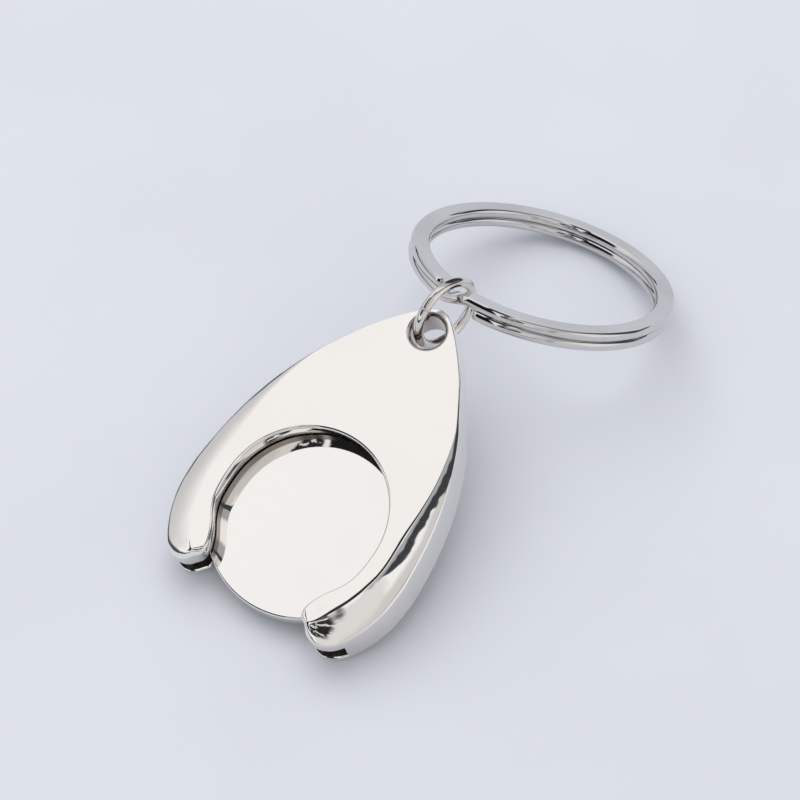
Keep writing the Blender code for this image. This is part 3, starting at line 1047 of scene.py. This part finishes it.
        # Seen from the crease, the side falls by a slope and a parabola that share the drop, after an
        # eased start over the soft part of its width. It is steepest at the wall.
        width = (point.edge - point.wall).length
        share, soft = self.crease_slope_share, self.crease_round_share
        whole = share * (1 - soft / 2) + (1 - share) * (1 - soft / 2) ** 2
        steepest = (share + 2 * (1 - share) * (1 - soft / 2)) / whole
        tilt = math.atan(steepest * point.drop / width)
        radius = min(self.edge_round, width / 2)
        if level <= self.edge_round_levels:
            turn = (math.pi / 2 - tilt) * level / self.edge_round_levels
            run = radius * (1 - math.cos(turn)) / width
            below = radius * (math.tan((math.pi / 2 - tilt) / 2) - math.sin(turn))
            flat = point.wall.lerp(point.edge, run)
            return Vector((flat.x, flat.y, -point.drop - below))
        first = radius * (1 - math.sin(tilt)) / width
        step = level - self.edge_round_levels
        if step <= self.crown_levels:
            run = first + (1 - soft - first) * step / self.crown_levels
        else:
            run = 1 - soft * (1 - (step - self.crown_levels) / self.crease_levels)
        left = 1 - run
        eased = left ** 2 / (2 * soft) if left < soft else left - soft / 2
        fall = (share * eased + (1 - share) * eased ** 2) / whole
        flat = point.wall.lerp(point.edge, run)
        return Vector((flat.x, flat.y, -point.drop * fall))

    def back_point(self, points: list[OutlinePoint], index: int, turn: float) -> Vector:
        """Find a point on the rounded edge of the back face.

        Args:
            points: The outline.
            index: Which of its places is meant.
            turn: 0 at the wall, a quarter turn at the back face.

        Returns:
            The point in the holder's frame.
        """
        along = (points[(index + 1) % len(points)].foot - points[index - 1].foot).normalized()
        into_metal = Vector((along.y, -along.x))
        point = points[index]
        flared = smooth_step((self.flare_start - point.foot.y) / self.flare_length)
        flare = self.wall_flare * point.crown * flared
        place = point.foot + into_metal * (self.back_round * (1 - math.cos(turn)) - flare)
        return Vector((place.x, place.y, -self.thickness + self.back_round * (1 - math.sin(turn))))

    def wall_point(self, point: OutlinePoint, low: Vector, depth: float) -> Vector:
        """Find a point on the wall, which in the cut-out leans out under its lip.

        Args:
            point: The place on the outline.
            low: The wall's lower end there.
            depth: How far the wanted point lies below the front face.

        Returns:
            The point.
        """
        break_depth = max(self.lip_depth, depth)
        plain_top = Vector((point.foot.x, point.foot.y, -point.drop))
        broken = low.lerp(plain_top, (-break_depth - low.z) / (plain_top.z - low.z))
        if depth >= self.lip_depth:
            return broken
        top = Vector((point.wall.x, point.wall.y, -point.drop))
        return broken.lerp(top, (self.lip_depth - depth) / (self.lip_depth - point.drop))

    def thin_the_head(self, bm: bmesh.types.BMesh) -> None:
        """Ramp the back face up from the full thickness to the thinner head.

        Args:
            bm: The casting's mesh, which is changed.
        """
        start = self.slot_radius + self.ramp_start
        for step in range(self.ramp_stations + 1):
            along = start + self.ramp_length * step / self.ramp_stations
            everything = bm.verts[:] + bm.edges[:] + bm.faces[:]
            bmesh.ops.bisect_plane(
                bm, geom=everything, plane_co=(0, along, 0), plane_no=(0, 1, 0), dist=MERGE_DISTANCE
            )
        lift = self.thickness - self.head_thickness
        for vert in bm.verts:
            if vert.co.z < -self.thickness + self.back_round + MERGE_DISTANCE:
                vert.co.z += lift * smooth_step((vert.co.y - start) / self.ramp_length)

    def casting_mesh(self) -> bpy.types.Mesh:
        """Loft the casting's outside, with the cut-out's wall in its second material.

        Returns:
            The mesh, still without its slot, pocket and hole.
        """
        points = self.full_outline()
        rings = []
        for step in range(self.round_steps, -1, -1):
            turn = math.pi / 2 * step / self.round_steps
            rings.append([self.back_point(points, index, turn) for index in range(len(points))])
        lowest = rings[-1]
        wall_depths = (self.lip_depth, self.polished_depth)
        for depth in wall_depths:
            rings.append([self.wall_point(point, low, depth) for point, low in zip(points, lowest)])
        for step in range(self.edge_levels + 1):
            rings.append([self.edge_point(point, step) for point in points])
        bm = bmesh.new()
        bands = loft(bm, rings)
        for band in bands[self.round_steps:self.round_steps + len(wall_depths)]:
            for face, point in zip(band, points):
                if point.in_cutout and point.crown <= 0:
                    face.material_index = self.WALL_MATERIAL
        self.thin_the_head(bm)
        return finished_mesh(bm, "holder_casting")

    def slot_cutter(self) -> bpy.types.Object:
        """Make the cutter of the straight-sided slot with its round blind end.

        Returns:
            The cutter.
        """
        radius = self.slot_radius
        turns = [math.pi * step / self.slot_segments for step in range(self.slot_segments + 1)]
        outline = [(radius * math.cos(turn), radius * math.sin(turn)) for turn in turns]
        mouth = -self.token.radius - self.thickness
        outline += [(-radius, mouth), (radius, mouth)]
        bottom = -self.front_plate - self.slot_height
        return self.plate_cutter("slot_cutter", outline, bottom, -self.front_plate)

    def magnet_cutter(self) -> bpy.types.Object:
        """Make the cutter of the magnet's pocket behind the slot.

        Returns:
            The cutter.
        """
        radius = self.magnet_diameter / 2 + self.clearance
        start = self.slot_radius - self.magnet_diameter
        centre = self.slot_radius + self.magnet_diameter / 2
        outline = [(radius, start)]
        for step in range(self.slot_segments + 1):
            turn = math.pi * step / self.slot_segments
            outline.append((radius * math.cos(turn), centre + radius * math.sin(turn)))
        outline.append((-radius, start))
        half = self.magnet_thickness / 2 + self.clearance
        bottom, top = -self.token_depth - half, -self.token_depth + half
        return self.plate_cutter("magnet_cutter", outline, bottom, top)

    def plate_cutter(self, name: str, outline: Profile, bottom: float, top: float) -> bpy.types.Object:
        """Make a cutter that is a plate of one outline between two heights.

        Args:
            name: Name of the cutter.
            outline: Its outline, anticlockwise.
            bottom: Height of its lower face.
            top: Height of its upper face.

        Returns:
            The cutter.
        """
        bm = bmesh.new()
        loft(bm, [[Vector((x, y, height)) for x, y in outline] for height in (bottom, top)])
        return add_object(name, finished_mesh(bm, name))

    def hole_cutter(self) -> bpy.types.Object:
        """Make the cutter of the round hole, with both of its edges rounded.

        Returns:
            The cutter.
        """
        radius = self.hole_diameter / 2
        upper = []
        for step in range(self.round_steps, -1, -1):
            turn = math.pi / 2 * step / self.round_steps
            upper.append((radius + self.hole_round * (1 - math.sin(turn)),
                          -self.hole_round * (1 - math.cos(turn))))
        upper.append((radius + self.hole_round, self.thickness))
        lower = [(across, -self.head_thickness - height) for across, height in reversed(upper)]
        mesh = turned_mesh("hole_cutter", lower + upper, self.hole_segments)
        mesh.transform(Matrix.Translation((0, self.hole_centre, 0)))
        return add_object("hole_cutter", mesh)

    def round_mouth(self, mesh: bpy.types.Mesh) -> None:
        """Round the rim where the slot's floor meets the outside of the arms.

        Args:
            mesh: The casting's mesh, which is changed.
        """
        floor = -self.front_plate - self.slot_height
        bm = bmesh.new()
        bm.from_mesh(mesh)
        rim = []
        for edge in bm.edges:
            level = all(abs(vert.co.z - floor) < LEVEL_TOLERANCE for vert in edge.verts)
            if level and edge.is_convex and edge.calc_face_angle() >= self.mouth_corner:
                rim.append(edge)
        bmesh.ops.bevel(
            bm, geom=rim, offset=self.mouth_round, offset_type="OFFSET", segments=self.mouth_round_steps,
            profile=self.mouth_round_profile, affect="EDGES", clamp_overlap=True,
            material=self.OUTSIDE_MATERIAL,
        )
        bm.to_mesh(mesh)
        bm.free()
        LOG.info("mouth rim: %d edges rounded", len(rim))

    def build(self, place: Matrix, effects: Effects) -> bpy.types.Object:
        """Build and dress the casting.

        Args:
            place: The holder's frame.
            effects: The shared node groups.

        Returns:
            The casting.
        """
        mesh = self.casting_mesh()
        mesh.materials.append(self.plating.material(effects))
        mesh.materials.append(self.wall_plating.material(effects))
        casting = add_object("holder_casting", mesh)
        # The slot's near-black skin is painted shade on its rough cast surface
        slot_skin_and_shade = self.slot_skin_and_shade.material(effects)
        hole_plating = self.hole_plating.material(effects)
        cutters = (
            (self.slot_cutter(), slot_skin_and_shade),
            (self.magnet_cutter(), slot_skin_and_shade),
            (self.hole_cutter(), hole_plating),
        )
        for cutter, material in cutters:
            cutter.data.materials.append(material)
            boolean = casting.modifiers.new(cutter.name, "BOOLEAN")
            boolean.operation = "DIFFERENCE"
            boolean.solver = "EXACT"
            boolean.material_mode = "TRANSFER"
            boolean.object = cutter
        apply_modifiers(casting)
        for cutter, _ in cutters:
            bpy.data.objects.remove(cutter, do_unlink=True)
        self.round_mouth(casting.data)
        casting.data.transform(place)
        shade_crisp(casting, self.crisp_angle)
        return casting


def apply_modifiers(thing: bpy.types.Object) -> None:
    """Give an object the mesh that its modifiers make, and clear them.

    Args:
        thing: The object.
    """
    bpy.context.view_layer.update()
    evaluated = thing.evaluated_get(bpy.context.evaluated_depsgraph_get())
    mesh = bpy.data.meshes.new_from_object(evaluated)
    thing.modifiers.clear()
    thing.data = mesh


@dataclass
class JumpRing:
    """Round wire bent into a ring, its two butted ends a hair apart."""

    wire: float = 0.00115
    inner_diameter: float = 0.0068
    split: float = 0.00012
    side: float = -0.00018
    reach: float = 0.00315
    depth: float = 0.0016
    yaw: float = math.radians(-8.7)
    pitch: float = math.radians(7.5)
    split_angle: float = math.radians(205.0)
    stations: int = 240
    sides: int = 40
    end_round: float = 0.00008
    end_steps: int = 4
    crisp_angle: float = math.radians(40.0)
    finish: Plating = Plating("bright_nickel_wire", (0.76, 0.73, 0.70), (0.62, 0.585, 0.55), 0.06)

    def place(self, hole_centre: float) -> Matrix:
        """Find the ring's place in the holder's frame, local Z being its axis.

        Args:
            hole_centre: How far the holder's hole lies from the token's middle.

        Returns:
            The place.
        """
        middle = Vector((self.side, hole_centre + self.reach, -self.depth))
        turn = Matrix.Rotation(self.yaw, 4, "Z") @ Matrix.Rotation(math.pi / 2 - self.pitch, 4, "Y")
        return Matrix.Translation(middle) @ turn

    def build(self, place: Matrix, effects: Effects) -> bpy.types.Object:
        """Build and dress the ring.

        Args:
            place: The ring's place in the row frame.
            effects: The shared node groups.

        Returns:
            The ring.
        """
        radius = (self.inner_diameter + self.wire) / 2
        start = self.split_angle + self.split / 2 / radius
        sweep = 2 * math.pi - self.split / radius
        first_end = []
        for step in range(self.end_steps + 1):
            turn = math.pi / 2 * step / self.end_steps
            inset = self.end_round * (1 - math.sin(turn)) / radius
            first_end.append((inset, self.wire / 2 - self.end_round * math.cos(turn)))
        first_end.reverse()
        between = [(sweep * index / self.stations, self.wire / 2) for index in range(1, self.stations)]
        last_end = [(sweep - inset, thick) for inset, thick in reversed(first_end)]
        bm = bmesh.new()
        rings = []
        for angle, thick in first_end + between + last_end:
            out = Vector((math.cos(start + angle), math.sin(start + angle), 0.0))
            section = []
            for side in range(self.sides):
                turn = 2 * math.pi * side / self.sides
                up = Vector((0, 0, thick * math.sin(turn)))
                section.append(out * (radius + thick * math.cos(turn)) + up)
            rings.append(section)
        loft(bm, rings)
        mesh = finished_mesh(bm, "jump_ring_wire")
        mesh.materials.append(self.finish.material(effects))
        ring = add_object("jump_ring_wire", mesh, place)
        shade_crisp(ring, self.crisp_angle)
        return ring


@dataclass
class SplitRing:
    """Flat strip wound twice round, with a jog where it steps from one coil to the other."""

    outer_diameter: float = 0.0304
    width: float = 0.0022
    thickness: float = 0.0011
    side_turn: float = math.radians(52.0)
    gap: float = 0.00005
    jog: float = math.radians(15.6)
    end_gap: float = math.radians(0.4)
    jump_to_jog: float = math.radians(11.8)
    fall: float = math.radians(46.3)
    roll: float = math.radians(-2.4)
    swing: float = math.radians(13.5)
    seat: float = 0.002
    seat_angle: float = math.radians(28.7)
    points_per_turn: int = 300
    jog_points: int = 40
    end_points: int = 10
    side_steps: int = 12
    crisp_angle: float = math.radians(30.0)
    finish: Plating = Plating("bright_nickel_strip", (0.68, 0.67, 0.67), (0.60, 0.59, 0.585), 0.05)

    @property
    def mean_radius(self) -> float:
        """Radius of the strip's middle line."""
        return (self.outer_diameter - self.width) / 2

    def place(self, jump_place: Matrix) -> Matrix:
        """Find the ring's place where its strip passes through the jump ring.

        Args:
            jump_place: The jump ring's place in the holder's frame.

        Returns:
            The place: its origin is the middle of the strip there, local +X points to the middle of
            the ring, and local +Y runs along the strip.
        """
        out = Vector((0, math.cos(self.seat_angle), math.sin(self.seat_angle)))
        turn = Matrix.Rotation(-self.fall, 4, "X") @ Matrix.Rotation(self.roll, 4, "Y")
        turn = turn @ Matrix.Rotation(math.pi / 2 - self.swing, 4, "Z")
        return Matrix.Translation(jump_place.translation + self.seat * out) @ turn

    def stations(self) -> list[tuple[float, float, float]]:
        """Find the places along the strip, from one round-nosed end over the jog to the other.

        Returns:
            The angle along the strip, the level across the coils and the width's share at each place.
        """
        jog_end = self.jump_to_jog
        jog_start = jog_end - self.jog
        start = jog_end + self.end_gap
        end = 2 * math.tau + jog_start - self.end_gap
        climb = (math.tau + jog_start, math.tau + jog_end)
        step_up = self.thickness + self.gap
        level_at_jump = smooth_step(-jog_start / self.jog)
        turn = math.tau / self.points_per_turn
        nose = self.width / 2 / self.mean_radius
        insets = [nose * (1 - math.cos(math.pi / 2 * i / self.end_points)) for i in range(self.end_points)]
        angles = [start + inset for inset in insets]
        stretches = (
            (start + nose, climb[0], turn),
            (*climb, self.jog / self.jog_points),
            (climb[1], end - nose, turn),
        )
        for low, high, step in stretches:
            count = max(1, round((high - low) / step))
            angles += [low + (high - low) * i / count for i in range(count)]
        angles += [end - nose] + [end - inset for inset in reversed(insets)]
        rows = []
        for angle in angles:
            inside = min(angle - start, end - angle) / nose
            share = math.sqrt(max(0.0, 1 - (1 - min(inside, 1.0)) ** 2))
            level = step_up * (smooth_step((angle - climb[0]) / self.jog) - level_at_jump)
            rows.append((angle, level, share))
        return rows

    def section(self, angle: float, level: float, share: float) -> list[Vector]:
        """Find the section across the strip, with flat faces and bulging sides.

        Args:
            angle: Where along the strip it lies.
            level: How far it is lifted across the coils.
            share: Share of the strip's width that is left there.

        Returns:
            The section's points.
        """
        bulge_radius = self.thickness / 2 / math.sin(self.side_turn)
        bulge = bulge_radius * (1 - math.cos(self.side_turn))
        half_width = max(self.width / 2 * share, 2 * bulge)
        points = []
        for side in (1, -1):
            for step in range(self.side_steps + 1):
                turn = side * self.side_turn * (1 - 2 * step / self.side_steps)
                across = side * (half_width - bulge_radius * (1 - math.cos(turn)))
                radius = self.mean_radius + across
                points.append(Vector((
                    self.mean_radius - radius * math.cos(angle),
                    -radius * math.sin(angle),
                    level + bulge_radius * math.sin(turn),
                )))
        return points

    def build(self, place: Matrix, effects: Effects) -> bpy.types.Object:
        """Build and dress the ring.

        Args:
            place: The ring's place in the row frame.
            effects: The shared node groups.

        Returns:
            The ring.
        """
        bm = bmesh.new()
        loft(bm, [self.section(*row) for row in self.stations()])
        mesh = finished_mesh(bm, "split_ring_strip")
        mesh.materials.append(self.finish.material(effects))
        ring = add_object("split_ring_strip", mesh, place)
        shade_crisp(ring, self.crisp_angle)
        return ring


@dataclass
class HolderMagnet:
    """Small disc magnet in its pocket behind the slot, which stays as the frame has it."""

    finish: Plating = Plating(
        "dull_magnet_plating", (0.46, 0.46, 0.47), (0.33, 0.33, 0.34), 0.32, grain=1e-6,
        grains_per_metre=6000.0,
    )

    def dress(self, effects: Effects) -> None:
        """Give the magnet its dull plating.

        Args:
            effects: The shared node groups.
        """
        magnet = frame["nodes"]["holder_magnet"]
        magnet.data.materials.clear()
        magnet.data.materials.append(self.finish.material(effects))
        LOG.info("%s keeps its shape: %d faces", magnet.name, len(magnet.data.polygons))


@dataclass(frozen=True)
class Edge:
    """A soft edge across the surroundings: the mask grows from start to end along a direction."""

    towards: Direction
    start: float
    end: float


@dataclass(frozen=True)
class Card:
    """A soft-edged card that hangs round the object and shows in its plating.

    It fills the part of the surroundings that lies within all its edges. Ragged edges waver by that
    much, and a card with holes is open where the noise lies above that value.
    """

    colour: Colour
    edges: tuple[Edge, ...]
    ragged: float = 0.0
    holes: float = 0.0


@dataclass(frozen=True)
class Surroundings:
    """What the plating reflects: a bright soft box overhead, with cards hung round the object."""

    overhead: Colour = (1.0, 0.998, 0.995)
    fill: Colour = (0.70, 0.70, 0.71)
    waver_scale: float = 15.0
    waver_detail: float = 2.0
    blob_scale: float = 14.0
    blob_detail: float = 1.0
    hole_softness: float = 0.05
    # From the back to the front: a later card hides an earlier one
    cards: tuple[Card, ...] = (
        # Cool wall beyond the split ring
        Card((0.56, 0.59, 0.64), (Edge(FAR, 0.34, 0.55),)),
        # Dark doorway in it
        Card((0.045, 0.045, 0.05), (Edge(FAR, 0.64, 0.72),)),
        # Soft box's fall-off on the left
        Card((0.62, 0.62, 0.635), (Edge(LEFT, 0.72, 1.0),)),
        # Its fall-off towards the camera on the right
        Card((0.80, 0.79, 0.785), (Edge(NEAR, 0.16, 0.21), Edge(RIGHT, 0.10, 0.16))),
        # Its fall-off on the right, in two steps
        Card((0.68, 0.67, 0.665), (Edge(RIGHT, 0.45, 0.56), Edge(LEFT, -0.75, -0.71))),
        Card((0.50, 0.495, 0.49), (Edge(RIGHT, 0.63, 0.70), Edge(LEFT, -0.75, -0.71))),
        # Dark skirting round the room, away from the lit right side
        Card((0.07, 0.07, 0.075), (Edge(DOWN, -0.15, -0.08), Edge(LEFT, -0.62, -0.5))),
        # Stand beside the soft box
        Card(
            (0.03, 0.03, 0.033),
            (Edge(RIGHT, -0.27, -0.23), Edge(LEFT, -0.06, -0.03), Edge(NEAR, -0.10, -0.04),
             Edge(FAR, -0.40, -0.30)),
        ),
        # Pale curtain overhead
        Card(
            (0.42, 0.44, 0.47),
            (Edge(OFF_CURTAIN, -0.004, 0.012), Edge(RIGHT, 0.09, 0.12), Edge((0.8, -1.0, 0.0), -0.06, 0.0)),
            ragged=0.04,
        ),
        # Narrow dark curtain in front of it
        Card(
            (0.05, 0.051, 0.058),
            (Edge(OFF_CURTAIN, -0.022, -0.006), Edge((0.621, -0.753, -0.184), -0.012, 0.006),
             Edge(RIGHT, 0.17, 0.21)),
            ragged=0.03,
        ),
        # Dark doorway beyond the curtains
        Card(
            (0.05, 0.051, 0.058),
            (Edge(OFF_CURTAIN, -0.022, -0.006), Edge(FAR, 0.30, 0.36), Edge(RIGHT, 0.52, 0.60)),
        ),
        # Dark camera stand in front
        Card(
            (0.012, 0.012, 0.014),
            (Edge((-1.0, -0.264, 0.0), 0.24, 0.27), Edge(NEAR, 0.19, 0.22), Edge(RIGHT, -0.66, -0.60),
             Edge(UP, 0.26, 0.36)),
        ),
        # Dark clutter beside it, full of holes
        Card(
            (0.02, 0.02, 0.022), (Edge((-0.13, -0.70, 0.705), 0.872, 0.895), Edge(RIGHT, 0.0, 0.05)),
            ragged=0.02, holes=0.56,
        ),
    )

    def card_mask(
        self, graph: Graph, card: Card, sight: bpy.types.NodeSocket, waver: bpy.types.NodeSocket
    ) -> bpy.types.NodeSocket:
        """Find where a card hangs.

        Args:
            graph: The world's graph.
            card: The card.
            sight: The direction that is looked in.
            waver: Noise around 0 that makes edges ragged.

        Returns:
            A mask that is 1 on the card.
        """
        mask = None
        for edge in card.edges:
            inputs = {0: sight, 1: edge.towards}
            along = graph.add("ShaderNodeVectorMath", inputs, operation="DOT_PRODUCT").outputs["Value"]
            if card.ragged:
                along = graph.maths("ADD", along, graph.maths("MULTIPLY", waver, card.ragged))
            part = graph.ramp(along, edge.start, edge.end)
            mask = part if mask is None else graph.maths("MULTIPLY", mask, part)
        if card.holes:
            blobs = graph.noise(sight, self.blob_scale, self.blob_detail)
            solid = graph.ramp(blobs, card.holes + self.hole_softness, card.holes)
            mask = graph.maths("MULTIPLY", mask, solid)
        return mask

    def build(self) -> None:
        """Hang the cards round the object for its plating, over an even fill light."""
        world = bpy.data.worlds.new("studio_world")
        world.use_nodes = True
        bpy.context.scene.world = world
        graph = Graph(world.node_tree)
        background = world.node_tree.nodes["Background"]
        generated = graph.add("ShaderNodeTexCoord").outputs["Generated"]
        looked = graph.add("ShaderNodeVectorMath", {0: generated}, operation="NORMALIZE")
        sight = looked.outputs["Vector"]
        noise = graph.noise(sight, self.waver_scale, self.waver_detail)
        waver = graph.maths("SUBTRACT", noise, NOISE_MIDDLE)
        colour: Tone = self.overhead
        for card in self.cards:
            colour = graph.mix(self.card_mask(graph, card, sight, waver), colour, card.colour)
        reflected = graph.add("ShaderNodeLightPath").outputs["Is Glossy Ray"]
        graph.join(graph.mix(reflected, self.fill, colour), background.inputs["Color"])


@dataclass
class Studio:
    """Plain pale floor, soft light and the camera."""

    surroundings: Surroundings = Surroundings()
    floor_paper: FloorPaper = FloorPaper()
    floor_size: float = 4.0
    lamp_size: float = 1.4
    lamp_distance: float = 1.2
    lamp_direction: Direction = (-0.38, 0.25, 0.9)
    lamp_watts: float = 6.5
    azimuth: float = math.radians(40.916)
    elevation: float = math.radians(55.634)
    roll: float = math.radians(5.116)
    distance: float = 0.33646
    clip_share: float = 0.1
    target: Direction = (-0.00209, -0.00377, 0.008)
    lens: float = 138.6
    sensor: float = 36.0

    def build_floor(self) -> None:
        """Lay the pale floor under the object."""
        bm = bmesh.new()
        bmesh.ops.create_grid(bm, x_segments=1, y_segments=1, size=self.floor_size / 2)
        floor = add_object("studio_floor", finished_mesh(bm, "studio_floor"))
        floor.data.materials.append(self.floor_paper.material())

    def build_lamp(self) -> None:
        """Hang the large soft lamp that throws the shadows."""
        light = bpy.data.lights.new("soft_lamp", "AREA")
        light.shape = "DISK"
        light.size = self.lamp_size
        light.energy = self.lamp_watts
        lamp = bpy.data.objects.new("soft_lamp", light)
        bpy.context.scene.collection.objects.link(lamp)
        direction = Vector(self.lamp_direction).normalized()
        turn = direction.to_track_quat("Z", "Y").to_matrix().to_4x4()
        lamp.matrix_world = Matrix.Translation(direction * self.lamp_distance) @ turn
        lamp.visible_glossy = False

    def build_camera(self) -> None:
        """Set the camera up at the photograph's angle."""
        data = bpy.data.cameras.new("studio_camera")
        data.lens = self.lens
        data.sensor_width = self.sensor
        data.clip_start = self.distance * self.clip_share
        camera = bpy.data.objects.new("studio_camera", data)
        bpy.context.scene.collection.objects.link(camera)
        back = Vector((
            math.sin(self.azimuth) * math.cos(self.elevation),
            -math.cos(self.azimuth) * math.cos(self.elevation),
            math.sin(self.elevation),
        ))
        turn = back.to_track_quat("Z", "Y").to_matrix().to_4x4()
        turn = turn @ Matrix.Rotation(-self.roll, 4, "Z")
        camera.matrix_world = Matrix.Translation(Vector(self.target) + back * self.distance) @ turn
        bpy.context.scene.camera = camera

    def build(self) -> None:
        """Build the whole studio."""
        bpy.context.scene.view_settings.view_transform = "Standard"
        self.build_floor()
        self.surroundings.build()
        self.build_lamp()
        self.build_camera()


def holder_place(holder: CoinHolder) -> Matrix:
    """Find the holder's frame from the joints.

    Args:
        holder: The holder, whose sizes say where its frame lies from the hole.

    Returns:
        The frame's place in the row frame.
    """
    joints = {joint["name"]: joint for joint in frame["joints"]}
    out = Vector(joints["link_swing"]["axis"]).normalized()
    head = -Vector(joints["token_slide"]["axis"]).normalized()
    across = head.cross(out)
    middle_of_head = Vector(joints["link_swing"]["pos_m"])
    origin = middle_of_head - head * holder.hole_centre + out * holder.head_thickness / 2
    place = Matrix((across, head, out)).transposed().to_4x4()
    place.translation = origin
    return place


def main() -> None:
    """Build the keyring's pieces in order, then the studio."""
    logging.basicConfig(level=logging.INFO, format="%(message)s")
    effects = Effects()
    token = TrolleyToken()
    holder = CoinHolder(token)
    place = holder_place(holder)
    carry(holder.build(place, effects), Body.HOLDER, "coin_holder")
    HolderMagnet().dress(effects)
    carry(token.build(holder.token_depth, place, effects), Body.TOKEN, "trolley_token")
    jump_ring = JumpRing()
    jump_place = jump_ring.place(holder.hole_centre)
    carry(jump_ring.build(place @ jump_place, effects), Body.LINK, "jump_ring")
    split_ring = SplitRing()
    ring_place = place @ split_ring.place(jump_place)
    carry(split_ring.build(ring_place, effects), Body.KEY_RING, "split_ring")
    Studio().build()


if __name__ == "__main__":
    main()
